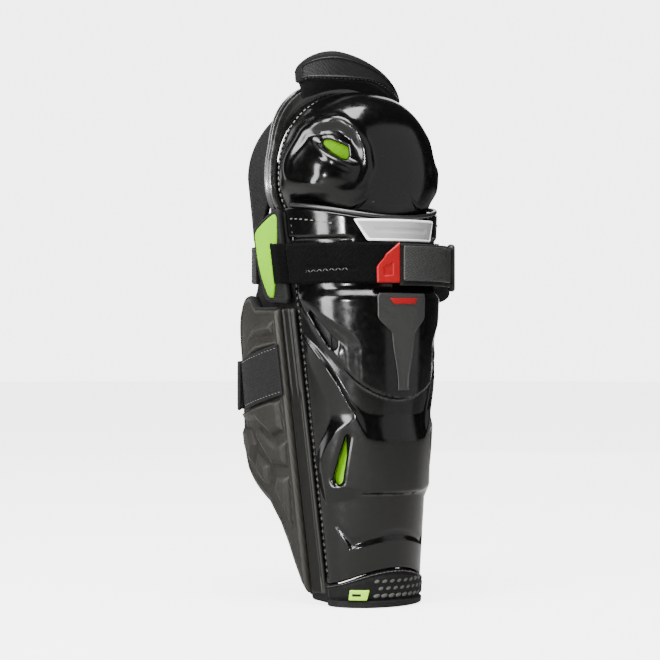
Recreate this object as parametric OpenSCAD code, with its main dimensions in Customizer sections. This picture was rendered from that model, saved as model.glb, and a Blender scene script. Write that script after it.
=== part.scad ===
// Ice hockey shin guard for a right leg, 12 inch size.
// Millimetres. +Z runs up the shin, the front of the leg faces -Y, and the outer (lateral) side is -X.
// The origin is on the leg's axis, in the plane of the foot rim.

/* [Leg form] */
// Half width of the shin shell at the foot rim
ankle_half_width = 34; // [33:0.5:36]
// Half width of the shin shell at its top edge
knee_half_width = 57; // [57:0.5:59]
// Front depth of the shin shell at the foot rim
ankle_depth = 27; // [26:0.5:30]
// Front depth of the shin shell at its top edge
knee_depth = 54; // [53:0.5:56]
// How far the shin line bows forward half way up
shin_bow = 3; // [1:0.5:5]
// Place of the section's centre at the foot rim
ankle_y = -17; // [-19:0.5:-15]
// Place of the section's centre at the shell's top edge
knee_y = 3; // [2:0.5:4]

/* [Shin shell] */
// Height of the shell's top edge at the front
shell_brow = 256; // [254:0.5:258]
// Height of the shell's top edge at the sides
shell_ear = 265; // [262:0.5:266]
// Height of the shell's lower edge at the front
shell_arch = 26; // [23:0.5:28]
// Height of the shell's lower edge at the sides
shell_heel = 15; // [13:0.5:17]
// Wall thickness of both hard shells
shell_wall = 3; // [2.5:0.1:3]
// Height of the raised crest over the shell's face
crest_rise = 4; // [2:0.5:4.5]

/* [Shin liner] */
// Thickness of the foam liner
liner_wall = 7; // [5:0.5:8]
// Height of the liner's top edge
liner_top = 236; // [230:1:238]

/* [Knee cap] */
// Height of the knee's turning axis
knee_axis_z = 287; // [286:0.5:288]
// Place of the knee's turning axis behind the leg's axis
knee_axis_y = 12; // [11:0.5:13]
// Half width of the cap
cap_half_width = 54; // [52:0.5:54]
// Depth of the cap in front of its axis
cap_depth = 52; // [50:0.5:52]
// Height of the cap above its axis
cap_rise = 58; // [56:0.5:58]
// Fullness of the cap below its axis
cap_drop = 60; // [58:0.5:62]
// Squareness of the cap's profile, 2 is a plain ellipse
cap_fullness = 3.3; // [2.8:0.1:3.4]
// How far the cap's two cheeks stand out
cheek_rise = 4.5; // [3:0.5:5]
// How much narrower the cap is at its lower lip, as a share
cap_waist = 0.06; // [0.05:0.01:0.08]
// Height of the cap's lower lip
cap_lip_z = 251; // [250:0.5:254]

/* [Thigh flap] */
// Height of the flap's lower edge
flap_foot = 352.5; // [352:0.1:354]
// Height of the flap's crown
flap_crown = 373; // [370:0.5:378]
// Half width of the flap
flap_half_width = 43; // [41:0.5:45]

/* [Calf wraps] */
// Thickness of the padded wraps
wrap_wall = 8; // [6:0.5:8]
// How far the wraps bulge round the calf
calf_bulge = 11; // [9:0.5:12]
// How far the wraps curl in behind the calf
calf_curl = 28; // [24:1:30]
// Reach of the wraps behind the shell's edge
wrap_reach = 82; // [76:1:82]

/* [Straps] */
// Lower edge of the upper strap
strap_foot = 215; // [214:0.5:216]
// Width of the upper strap
strap_width = 26; // [24:0.5:27]
// Width of the lower strap
calf_strap_width = 34; // [30:0.5:36]
// Thickness of the webbing
webbing = 2; // [1.6:0.1:2.2]

/* [Hidden] */

form_top = 270;        // height at which the knee sizes apply
fit_gap = 0.4;         // space kept between neighbouring pieces
band_reach = 12.4;     // the edge band ends this far behind the shell's edge
wrap_start = 13.2;     // the calf wraps begin this far behind the shell's edge
calf_line = 0.085;     // the calf's back tapers less than the shin, by this much per millimetre of height
strap_top = strap_foot + strap_width;

// ---------------------------------------------------------------- form functions

function lerp(a, b, t) = a + (b - a) * t;
function clamp(x, low, high) = max(low, min(high, x));
function ease(x, low, high) = let (t = clamp((x - low) / (high - low), 0, 1)) t * t * (3 - 2 * t);
function bezier(p, t) =
    p[0] * pow(1 - t, 3) + p[1] * 3 * t * pow(1 - t, 2) + p[2] * 3 * t * t * (1 - t) + p[3] * pow(t, 3);

function half_width(z) = lerp(ankle_half_width, knee_half_width, z / form_top);
function front_depth(z) =
    lerp(ankle_depth, knee_depth, z / form_top) + shin_bow * sin(180 * clamp(z / form_top, 0, 1));
function centre_y(z) = lerp(ankle_y, knee_y, z / form_top);

// A point on the shin form: phi is the angle round the leg from the front, off stands out from the form.
function on_shin(phi, z, off) = [
    (half_width(z) + off) * sin(phi),
    centre_y(z) - (front_depth(z) + off) * cos(phi),
    z
];

// A point on the lateral side behind the shell: s is the distance behind the shell's edge.
function side_out(s, z, bulge, curl) =
    half_width(z) + bulge * sin(1.5 * s) - curl * pow(s / 100, 3) + calf_line * (150 - z) * pow(s / 80, 2);
function on_side(s, z, off, bulge = calf_bulge, curl = calf_curl) =
    let (
        slope = (side_out(s + 1, z, bulge, curl) - side_out(s - 1, z, bulge, curl)) / 2,
        length = sqrt(1 + slope * slope)
    )
    [
        -side_out(s, z, bulge, curl) - off / length,
        centre_y(z) + s - off * slope / length,
        z
    ];

// A point on the knee cap: beta runs round its rim from lateral (0) over the top (90), psi from the front pole.
function fullness(angle, n) = pow(pow(abs(cos(angle)), n) + pow(abs(sin(angle)), n), -1 / n);
// The cheeks fade out above the shin shell's rim, and the cap narrows there, so that it can turn inside the rim.
function cheek(beta, psi) =
    let (turn = (cos(beta) > 0 ? beta : 180 - beta) + 4)
    cheek_rise * (1 - (turn > 0 ? ease(turn, 6, 30) : ease(-turn, 2, 17)))
        * ease(psi, 32, 56) * (1 - ease(psi, 70, 87));
function waist(beta) = 1 - cap_waist * ease(-sin(beta), 0.15, 0.6);
function on_cap(beta, psi, off) =
    let (
        round = sin(psi) * fullness(psi, cap_fullness) * (sin(beta) > 0 ? fullness(beta, 2.2) : 1)
    )
    [
        -(cap_half_width + off) * round * cos(beta) * waist(beta),
        knee_axis_y - (cap_depth + off) * cos(psi) * fullness(psi, cap_fullness),
        knee_axis_z + ((sin(beta) > 0 ? cap_rise : cap_drop) + off) * round * sin(beta)
    ];

// The cap's edge: a back plane at the top and sides, and a level lip below.
function cap_edge(beta) =
    let (
        lip = (knee_axis_z - cap_lip_z) / cap_drop,
        reach = sin(88) * fullness(88, cap_fullness),
        share = lip / max(-sin(beta), lip / reach)
    )
    atan(share / pow(1 - pow(share, cap_fullness), 1 / cap_fullness));

// The square p, q in -1..1 pressed onto a round cap.
function on_cap_disc(u, v, off, shrink = 1) =
    let (
        p = 2 * u - 1,
        q = 2 * v - 1,
        x = p * sqrt(1 - q * q / 2),
        y = q * sqrt(1 - p * p / 2),
        beta = atan2(y, -x),
        psi = cap_edge(beta) * sqrt(x * x + y * y) * shrink
    )
    on_cap(beta, psi, off + cheek(beta, psi));

// Raised crest down the shell's middle and the broader shield below it.
function relief(phi, z) =
    let (
        crest = (1 - ease(abs(phi), 26, 34)) * ease(z, 136, 147) * (1 - ease(z, 206, 213)),
        shield = (1 - ease(abs(phi), 44, 54)) * ease(z, 70, 80) * (1 - ease(z, 136, 200))
    )
    max(crest_rise * crest, 0.6 * crest_rise * shield);

// Outlines of the shell and the wraps.
function shell_foot(phi) = lerp(shell_heel, shell_arch, pow(cos(phi), 2));
function shell_rim(phi) = lerp(shell_ear, shell_brow, pow(cos(phi), 2));
wrap_foot_line = [
    [13, 6], [18, 15], [22, 27], [26, 41], [31, 54], [40, 68], [55, 78], [66, 86], [75, 98], [82, 114]
];
function wrap_foot(s) = lookup(s, wrap_foot_line);
// The wraps stay below the gusset, and stand higher behind it.
function wrap_top(s) = lerp(198, 206, ease(s, 35.5, 43)) - 42 * pow(max(0, s - 44) / 38, 1.7);

// ---------------------------------------------------------------- sheet builder

// A closed sheet between two surfaces. Seen from outside, u runs left to right and v upwards.
module sheet(outer, inner, nu, nv, flip = false) {
    row = nu + 1;
    count = row * (nv + 1);
    points = [
        for (side = [outer, inner]) for (j = [0 : nv]) for (i = [0 : nu]) side(i / nu, j / nv)
    ];
    skins = [
        for (j = [0 : nv - 1]) for (i = [0 : nu - 1])
            let (a = j * row + i, b = a + 1, c = b + row, d = a + row)
            each [
                [a, d, c], [a, c, b],
                [count + a, count + b, count + c], [count + a, count + c, count + d]
            ]
    ];
    level_walls = [
        for (i = [0 : nu - 1])
            let (a = i, b = a + 1, d = nv * row + i, c = d + 1)
            each [
                [a, b, count + b], [a, count + b, count + a],
                [c, d, count + d], [c, count + d, count + c]
            ]
    ];
    upright_walls = [
        for (j = [0 : nv - 1])
            let (a = j * row, d = a + row, b = a + nu, c = d + nu)
            each [
                [d, a, count + a], [d, count + a, count + d],
                [b, c, count + c], [b, count + c, count + b]
            ]
    ];
    faces = concat(skins, level_walls, upright_walls);
    polyhedron(points, flip ? [for (f = faces) [f[0], f[2], f[1]]] : faces);
}

// A sheet on the shin form between two angles, two offsets and two height functions of the angle.
module shin_sheet(from, to, low, high, inner, outer, nu, nv) {
    function at(u, v, off) =
        let (phi = lerp(from, to, u))
        on_shin(phi, lerp(low(phi), high(phi), v), off(phi));
    sheet(function(u, v) at(u, v, outer), function(u, v) at(u, v, inner), nu, nv);
}

// A sheet on the lateral side between two distances, two offsets and two height functions of the distance.
module side_sheet(from, to, low, high, inner, outer, nu, nv, bulge = calf_bulge, curl = calf_curl) {
    function at(u, v, off) =
        let (s = lerp(from, to, u))
        on_side(s, lerp(low(s), high(s), v), off, bulge, curl);
    sheet(function(u, v) at(u, v, outer), function(u, v) at(u, v, inner), nu, nv, true);
}

// An upright band that follows a plan curve. It lies on the curve's right as t grows, base away from it.
module plan_band(path, thickness, low, high, steps, rows = 1, base = 0) {
    function tangent(t) =
        let (d = path(min(1, t + 0.01)) - path(max(0, t - 0.01)))
        d / norm(d);
    function at(t, v, off) =
        let (p = path(t), d = tangent(t))
        [p[0] + d[1] * off, p[1] - d[0] * off, lerp(low(t), high(t), v)];
    sheet(function(u, v) at(u, v, base + thickness), function(u, v) at(u, v, base), steps, rows);
}

// ---------------------------------------------------------------- shin shell and liner

module shin_shell() {
    color("#151614")
        difference() {
            sheet(
                function(u, v) shell_skin(u, v, 0),
                function(u, v) shell_skin(u, v, -shell_wall),
                34, 26
            );
            for (side = [-1, 1]) {
                vent_cut(side * 43, 98, side * 9, 34, 8);
                vent_cut(side * 52, 178, side * -30, 36, 8);
            }
        }
}

function shell_skin(u, v, off) =
    let (
        phi = lerp(-90, 90, u),
        z = lerp(shell_foot(phi), shell_rim(phi), v)
    )
    on_shin(phi, z, off + relief(phi, z));

// A slot through the shell: at an angle round the leg and a height, leaning by lean degrees.
module vent_cut(phi, z, lean, length, width) {
    translate([0, centre_y(z), z])
        rotate([0, 0, phi])
            translate([0, -30, 0])
                rotate([90, lean, 0])
                    linear_extrude(40)
                        hull()
                            for (end = [-1, 1])
                                translate([0, end * (length - width) / 2])
                                    circle(d = width, $fn = 16);
}

module shin_liner() {
    color("#1b1c1a")
        shin_sheet(
            -87, 87,
            function(phi) shell_foot(phi) + 0.5, function(phi) liner_top,
            function(phi) -5 - liner_wall, function(phi) -5,
            24, 12
        );
}

module tibia_pads() {
    color("#a6d626")
        for (side = [-1, 1])
            shin_sheet(
                side * 24 - 10, side * 24 + 10,
                function(phi) 40, function(phi) 218,
                function(phi) -10 - liner_wall, function(phi) -5 - liner_wall - fit_gap,
                4, 8
            );
}

module liner_hook_tapes() {
    color("#101010")
        for (side = [-1, 1])
            shin_sheet(
                side * 66 - 8, side * 66 + 8,
                function(phi) 50, function(phi) 205,
                function(phi) -4.7, function(phi) -shell_wall - 0.3,
                3, 8
            );
}

module hem() {
    color("#131313")
        shin_sheet(
            -89, 89,
            function(phi) 5.3, function(phi) shell_foot(phi) - fit_gap,
            function(phi) -9.5, function(phi) 1.6,
            24, 2
        );
}

module hem_binding() {
    function rim(phi, off) = let (p = on_shin(phi, 0, off)) [p[0], p[1]];
    color("#0d0d0d")
        linear_extrude(5)
            polygon(concat(
                [for (phi = [-88 : 8 : 88]) rim(phi, 2)],
                [for (phi = [88 : -8 : -88]) rim(phi, -9)]
            ));
}

module lateral_edge_band() {
    color("#1a1b1a")
        side_sheet(
            0.6, band_reach,
            function(s) 8, function(s) 198,
            -2, 1.5, 3, 14
        );
}

module medial_edge_band() {
    mirror([1, 0, 0]) lateral_edge_band();
}

module top_edge_piping() {
    color("#0f0f0f")
        shin_sheet(
            -84, 84,
            function(phi) shell_rim(phi) + 0.3, function(phi) shell_rim(phi) + 3.6,
            function(phi) -3.2, function(phi) 0.6,
            26, 1
        );
}

// ---------------------------------------------------------------- plates on the shell

module brow_plate() {
    color("#d9d8d6")
        sheet(
            function(u, v) on_shin(lerp(-34 + 9 * (1 - v), 34 - 4 * (1 - v), u), lerp(242, 254.5, v), 2),
            function(u, v) on_shin(lerp(-34 + 9 * (1 - v), 34 - 4 * (1 - v), u), lerp(242, 254.5, v), 0.4),
            12, 2
        );
}

module crest_plate() {
    function spread(v) = lerp(11, 20, ease(v, 0.35, 0.75));
    function at(u, v, off) =
        let (z = lerp(140, 204, v))
        on_shin(lerp(-spread(v), spread(v), u), z, crest_rise + off);
    color("#242523")
        sheet(function(u, v) at(u, v, 1.4), function(u, v) at(u, v, 0.4), 8, 10);
}

module crest_bar() {
    function at(u, v, off) = on_shin(lerp(-7.5 - 2.5 * v, 7.5 + 2.5 * v, u), lerp(196, 200, v), crest_rise + off);
    color("#c4161c")
        sheet(function(u, v) at(u, v, 2.2), function(u, v) at(u, v, 1.6), 6, 1);
}

module size_tab() {
    function at(u, v, off) = on_shin(lerp(-56 + 2 * v, -38 + 3 * v, u), lerp(6, 12.5, v), 2 + off);
    color("#b6e22a")
        sheet(function(u, v) at(u, v, 0.5), function(u, v) at(u, v, -0.1), 5, 1);
}

// ---------------------------------------------------------------- upper strap

module loop_band() {
    color("#070707")
        shin_sheet(
            -89, 50,
            function(phi) strap_foot, function(phi) strap_top,
            function(phi) 0.5, function(phi) 3.2,
            24, 1
        );
}

module loop_band_end() {
    color("#070707")
        side_sheet(
            0.4, 9,
            function(s) strap_foot, function(s) strap_top,
            7, 9.4, 4, 1, 6, 0
        );
}

// Plan of the strap's free end: round the shell, then off it to the keeper on the medial side.
tab_leave = 50;
keeper = [70.5, -9];     // plan place where the strap's end is held
function tab_plan(t, off) =
    let (
        z = strap_foot + strap_width / 2,
        leave = on_shin(tab_leave, z, off),
        heading = [cos(tab_leave), sin(tab_leave)],
        start = [leave[0], leave[1]],
        split = 0.55
    )
    t < split
        ? let (p = on_shin(lerp(-4, tab_leave, t / split), z, off)) [p[0], p[1]]
        : bezier(
            [start, start + heading * 8, keeper - [5, 8], keeper],
            (t - split) / (1 - split)
        );

module strap_tab() {
    color("#0a0a0a")
        plan_band(
            function(t) tab_plan(t, 4.4), webbing,
            function(t) strap_foot - 2, function(t) strap_top - 1,
            26
        );
}

module strap_patch() {
    color("#1d1e1d")
        plan_band(
            function(t) tab_plan(lerp(0.02, 0.7, t), 4.4), 1.2,
            function(t) strap_foot + 0.5, function(t) strap_top - 2,
            18, 1, webbing + fit_gap
        );
}

module pull_tab() {
    color("#c4161c")
        plan_band(
            function(t) let (p = on_shin(lerp(-20, -4.6, t), strap_foot + 12, 4.6)) [p[0], p[1]], 2.6,
            function(t) strap_foot, function(t) strap_foot + lerp(16, 26, t),
            6
        );
}

// The elastic from the lateral gusset round behind the knee to the medial keeper.
module back_strap() {
    function behind(t) = let (a = 180 * t) [9.5 + 66.5 * cos(a), 36 + 32 * sin(a)];
    color("#0b0b0b")
        plan_band(
            function(t) behind(t), webbing,
            function(t) strap_foot, function(t) strap_top - 1,
            30
        );
}

// ---------------------------------------------------------------- gussets

gusset_bulge = 4;
gusset_reach = 34;
function gusset_foot(s) = 201 + 2 * s / gusset_reach;
function gusset_top(s) = 266 - 15 * pow(s / gusset_reach, 1.3);

module lateral_gusset() {
    color("#0c0d0c")
        side_sheet(
            2, gusset_reach,
            function(s) gusset_foot(s), function(s) gusset_top(s),
            0.5, 4, 8, 6, gusset_bulge, 0
        );
}

module lateral_gusset_panel() {
    color("#b8e42c")
        side_sheet(
            5, gusset_reach - 4,
            function(s) gusset_foot(s) + 5, function(s) gusset_top(s) - 6,
            4.4, 6, 6, 5, gusset_bulge, 0
        );
}

function flare(t) = bezier([[58, 3], [74, -9], [79, 10], [75.6, 35.4]], t);
function flare_foot(t) = lerp(202, 216, ease(t, 0.1, 0.8));
function flare_top(t) = 243 - 2 * t;

module medial_gusset() {
    color("#0c0d0c")
        plan_band(
            function(t) flare(t), 3,
            function(t) flare_foot(t), function(t) flare_top(t),
            18, 2
        );
}

module medial_gusset_panel() {
    color("#b8e42c")
        plan_band(
            function(t) let (d = flare(lerp(0.62, 0.96, t))) d + [3.4, 1], 1.4,
            function(t) flare_foot(lerp(0.62, 0.96, t)) + 4, function(t) flare_top(0.8) - 5,
            8
        );
}

// ---------------------------------------------------------------- knee

module knee_shell() {
    color("#161715")
        difference() {
            sheet(
                function(u, v) on_cap_disc(u, v, 0),
                function(u, v) on_cap_disc(u, v, -shell_wall),
                24, 24
            );
            for (side = [-1, 1])
                translate([side * 34, knee_axis_y - 12, 312])
                    rotate([90, side * 20, side * 42])
                        linear_extrude(70)
                            hull() {
                                translate([-6, 0]) circle(d = 4, $fn = 16);
                                translate([6, 0]) circle(d = 7, $fn = 16);
                            }
        }
}

module knee_rim() {
    color("#181918")
        sheet(
            function(u, v) on_cap(lerp(-27, 207, u), lerp(89, 99, 1 - v), 3),
            function(u, v) on_cap(lerp(-27, 207, u), lerp(89, 99, 1 - v), -2.6),
            40, 2, true
        );
}

module knee_liner() {
    color("#a6d626")
        sheet(
            function(u, v) on_cap_disc(u, v, -shell_wall - 2.3, 0.96),
            function(u, v) on_cap_disc(u, v, -shell_wall - 8, 0.96),
            16, 16
        );
}

module knee_donut_pad() {
    color("#1c1d1c")
        for (turn = [0 : 3])
            sheet(
                function(u, v) on_cap(lerp(90 * turn + 2, 90 * turn + 88, u), lerp(40, 18, v), -shell_wall - 9.8),
                function(u, v) on_cap(lerp(90 * turn + 2, 90 * turn + 88, u), lerp(40, 18, v), -shell_wall - 12.5),
                5, 2, true
            );
}

// ---------------------------------------------------------------- thigh flap

function flap_plan(turn, off) = [
    3 + (flap_half_width + off) * sin(turn),
    25 - (24 + off) * cos(turn)
];
// The crown stands a little to the lateral side, and the medial end comes down over the cap's shoulder.
function flap_low(turn) = flap_foot - 11 * ease(turn, 5, 65) - 3 * ease(-turn, 50, 72);
function flap_high(turn) =
    flap_crown - (turn < -24
        ? 13 * pow((-24 - turn) / 48, 2)
        : 31 * pow((turn + 24) / 90, 1.6));
function on_flap(turn, z, off) =
    let (p = flap_plan(turn, off), lean = 0.12 * (z - flap_foot))
    [p[0], p[1] + lean, z];

module thigh_flap() {
    function at(u, v, off) =
        let (turn = lerp(-72, 66, u))
        on_flap(turn, lerp(flap_low(turn), flap_high(turn), v), off);
    color("#141414")
        sheet(function(u, v) at(u, v, 2.6), function(u, v) at(u, v, -2.6), 26, 4);
}

module thigh_flap_panel() {
    function at(u, v, off) =
        let (turn = lerp(-58, 40, u))
        on_flap(turn, lerp(flap_low(turn) + 1.5, flap_high(turn) - 4, v), off);
    color("#232423")
        sheet(function(u, v) at(u, v, 4.2), function(u, v) at(u, v, 3), 20, 3);
}

// ---------------------------------------------------------------- knee wings

wing_y = 21.6;     // front edge of the wings, just behind the knee rim
function wing_front(e) = wing_y + (e < 0 ? 22 * pow(-e / 44, 1.2) : 0);
function wing_back(e) = wing_y + (e < 0 ? lerp(32, 27, -e / 44) : 1 + 31 * cos(1.35 * e));

module lateral_wing() {
    function at(u, v, off) =
        let (
            e = lerp(-44, 62, v),
            y = lerp(wing_back(e), wing_front(e), u),
            a = max(e, 0)
        )
        [
            -(cap_half_width + off) * cos(a) * fullness(a, 2.2) - 0.06 * min(e, 0),
            y,
            knee_axis_z + (cap_rise + off) * sin(a) * fullness(a, 2.2) + min(e, 0)
        ];
    color("#2a2b27")
        sheet(function(u, v) at(u, v, 1.5), function(u, v) at(u, v, -3), 5, 20);
}

module medial_wing() {
    mirror([1, 0, 0]) lateral_wing();
}

// ---------------------------------------------------------------- calf wraps and lower strap

module lateral_calf_wrap() {
    color("#2c2d29")
        side_sheet(
            wrap_start, wrap_reach,
            function(s) wrap_foot(s), function(s) wrap_top(s),
            -wrap_wall / 2, wrap_wall / 2, 18, 14
        );
}

module medial_calf_wrap() {
    mirror([1, 0, 0]) lateral_calf_wrap();
}

function calf_strap_middle(s) = lerp(161, 145, clamp(s / 62, 0, 1));

module lower_strap() {
    color("#121212")
        side_sheet(
            14.5, 59.5,
            function(s) calf_strap_middle(s) - calf_strap_width / 2,
            function(s) calf_strap_middle(s) + calf_strap_width / 2,
            wrap_wall / 2 + fit_gap, wrap_wall / 2 + fit_gap + webbing, 12, 3
        );
}

// The tail leaves the wrap where the lower strap ends and turns in behind the calf on an arc.
tail_radius = 60;
tail_z = 145;
tail_base = on_side(64, tail_z, wrap_wall / 2 + 1.95);
tail_heading = 20;
function tail_plan(t) =
    let (h = lerp(tail_heading, 88, t))
    [
        tail_base[0] + tail_radius * (cos(tail_heading) - cos(h)),
        tail_base[1] + tail_radius * (sin(h) - sin(tail_heading))
    ];

module tail_piece(from, to, off, thickness, narrow, steps) {
    function at(u, v, o) =
        let (
            t = lerp(from, to, u),
            h = lerp(tail_heading, 88, t),
            p = tail_plan(t),
            half = calf_strap_width / 2 - narrow
        )
        [p[0] - o * cos(h), p[1] + o * sin(h), lerp(tail_z - half, tail_z + half, v)];
    sheet(function(u, v) at(u, v, off + thickness), function(u, v) at(u, v, off), steps, 1, true);
}

module lower_strap_tail() {
    color("#121212") tail_piece(0, 1, 0, webbing, 0, 16);
}

module lower_strap_hook() {
    color("#1d1e1d") tail_piece(0.66, 1, -1.6, 1.2, 4, 6);
}

module medial_loop_patch() {
    color("#0a0a0a")
        mirror([1, 0, 0])
            side_sheet(
                38, 66,
                function(s) 130, function(s) 156,
                wrap_wall / 2 + 0.3, wrap_wall / 2 + 1.5, 6, 2
            );
}

// ---------------------------------------------------------------- nodes

shin_shell();
shin_liner();
tibia_pads();
liner_hook_tapes();
hem();
hem_binding();
lateral_edge_band();
medial_edge_band();
top_edge_piping();
brow_plate();
crest_plate();
crest_bar();
size_tab();
loop_band();
loop_band_end();
lateral_gusset();
lateral_gusset_panel();
medial_gusset();
medial_gusset_panel();
back_strap();
strap_tab();
strap_patch();
pull_tab();
knee_shell();
knee_rim();
knee_liner();
knee_donut_pad();
thigh_flap();
thigh_flap_panel();
lateral_wing();
medial_wing();
lateral_calf_wrap();
lower_strap();
lower_strap_tail();
lower_strap_hook();
medial_calf_wrap();
medial_loop_patch();
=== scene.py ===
"""Ice hockey shin guard for a right leg, 12 inch size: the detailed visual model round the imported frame.

Design sizes are millimetres in the frame's axes: +Z runs up the shin, the front faces -Y and the outer (lateral)
side is -X. Meshes are made in metres.
"""

import logging
import math
from collections.abc import Callable, Sequence
from dataclasses import dataclass, field
from enum import Enum

import bpy
import numpy as np
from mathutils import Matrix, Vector


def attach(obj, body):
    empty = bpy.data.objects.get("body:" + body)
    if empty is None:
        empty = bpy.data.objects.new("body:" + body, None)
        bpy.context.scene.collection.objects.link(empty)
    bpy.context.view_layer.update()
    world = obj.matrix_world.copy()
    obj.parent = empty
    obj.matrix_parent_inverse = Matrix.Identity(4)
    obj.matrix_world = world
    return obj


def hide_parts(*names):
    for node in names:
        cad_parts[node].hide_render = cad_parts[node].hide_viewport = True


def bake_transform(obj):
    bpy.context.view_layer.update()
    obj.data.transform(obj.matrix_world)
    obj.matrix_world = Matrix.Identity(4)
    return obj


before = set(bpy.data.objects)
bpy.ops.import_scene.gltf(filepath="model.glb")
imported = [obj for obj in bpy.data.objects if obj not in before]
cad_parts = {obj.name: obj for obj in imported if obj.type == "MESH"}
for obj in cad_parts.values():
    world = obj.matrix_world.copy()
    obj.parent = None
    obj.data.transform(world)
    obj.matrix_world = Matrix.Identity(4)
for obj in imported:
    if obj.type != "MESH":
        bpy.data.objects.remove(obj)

log = logging.getLogger("shin_guard")
Array = np.ndarray
Place = Callable[[Array, Array, Array], Array]
Field = Callable[[Array, Array], Array]
Edge = Callable[[Array], Array]
Point = tuple[float, float, float]
Outline = Sequence[tuple[float, float]]
MM = 0.001
# Share of the floor's glow that reaches the pieces; the rest is there for the camera only.
GLOW_ON_PIECES = 0.012


# ------------------------ small helpers


def lerp(low: Array | float, high: Array | float, share: Array | float) -> Array:
    """The value a share of the way from low to high."""
    return low + (high - low) * share


def ramp(x: Array | float, start: Array | float, width: Array | float) -> Array:
    """Straight rise from 0 at start to 1 a width further on."""
    return np.clip((x - start) / width, 0.0, 1.0)


def ease(x: Array | float, start: Array | float, end: Array | float) -> Array:
    """Smooth rise from 0 at start to 1 at end."""
    t = np.clip((x - start) / (end - start), 0.0, 1.0)
    return t * t * (3.0 - 2.0 * t)


def bump(x: Array | float, middle: float, half: float) -> Array:
    """Smooth hump of height 1 at middle that ends half a width to each side."""
    return 1.0 - ease(np.abs(x - middle), 0.0, half)


def smooth_curve(x: Array, knots: Outline) -> Array:
    """A smooth curve through a few design points.

    Args:
        x: Where the curve is read.
        knots: Points (x, y) in rising x.

    Returns:
        The curve's y at each x, level beyond its ends.
    """
    kx, ky = (np.array(k, float) for k in zip(*knots))
    slope = np.gradient(ky, kx)
    x = np.clip(x, kx[0], kx[-1])
    i = np.clip(np.searchsorted(kx, x) - 1, 0, len(kx) - 2)
    step = kx[i + 1] - kx[i]
    t = (x - kx[i]) / step
    return (
        (2 * t**3 - 3 * t**2 + 1) * ky[i]
        + (t**3 - 2 * t**2 + t) * step * slope[i]
        + (3 * t**2 - 2 * t**3) * ky[i + 1]
        + (t**3 - t**2) * step * slope[i + 1]
    )


def slot_distance(
    x: Array, y: Array, start: tuple[float, float], end: tuple[float, float], radii: tuple[float, float]
) -> Array:
    """Distance to a round-ended slot whose width grows from one end to the other.

    Args:
        x: First coordinate of the points.
        y: Second coordinate of the points.
        start: Centre of the slot's first end.
        end: Centre of the slot's second end.
        radii: Radius of the two ends.

    Returns:
        The distance of each point from the slot's edge, negative inside it.
    """
    dx, dy = end[0] - start[0], end[1] - start[1]
    t = np.clip(((x - start[0]) * dx + (y - start[1]) * dy) / (dx * dx + dy * dy), 0.0, 1.0)
    return np.hypot(x - start[0] - t * dx, y - start[1] - t * dy) - lerp(radii[0], radii[1], t)


def from_edge(u: Array, v: Array, width: float, height: float) -> Array:
    """Distance from the nearest edge of a sheet of a width and height, in a place of its square."""
    return np.minimum(np.minimum(u, 1 - u) * width, np.minimum(v, 1 - v) * height)


def outline_distance(x: Array, y: Array, outline: Outline, rounding: float = 0.0) -> Array:
    """Distance to a closed outline.

    Args:
        x: First coordinate of the points.
        y: Second coordinate of the points.
        outline: The outline's corners in order.
        rounding: How far the outline is grown, which rounds its corners.

    Returns:
        The distance of each point from the outline, negative inside it.
    """
    best = np.full(np.shape(x), 1e9)
    inside = np.zeros(np.shape(x), bool)
    for (ax, ay), (bx, by) in zip(outline, [*outline[1:], outline[0]]):
        dx, dy = bx - ax, by - ay
        t = np.clip(((x - ax) * dx + (y - ay) * dy) / (dx * dx + dy * dy), 0.0, 1.0)
        best = np.minimum(best, np.hypot(x - ax - t * dx, y - ay - t * dy))
        crosses = (ay > y) != (by > y)
        inside ^= crosses & (x < dx * (y - ay) / (dy if dy else 1e-9) + ax)
    return np.where(inside, -best, best) - rounding


def stack(x: Array, y: Array, z: Array) -> Array:
    """Three coordinates as rows of points."""
    return np.stack(np.broadcast_arrays(x, y, z), axis=-1)


# ------------------------ the form


class Side(Enum):
    """Side of the leg. The value turns the lateral side's X into that side's."""

    LATERAL = 1
    MEDIAL = -1


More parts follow.
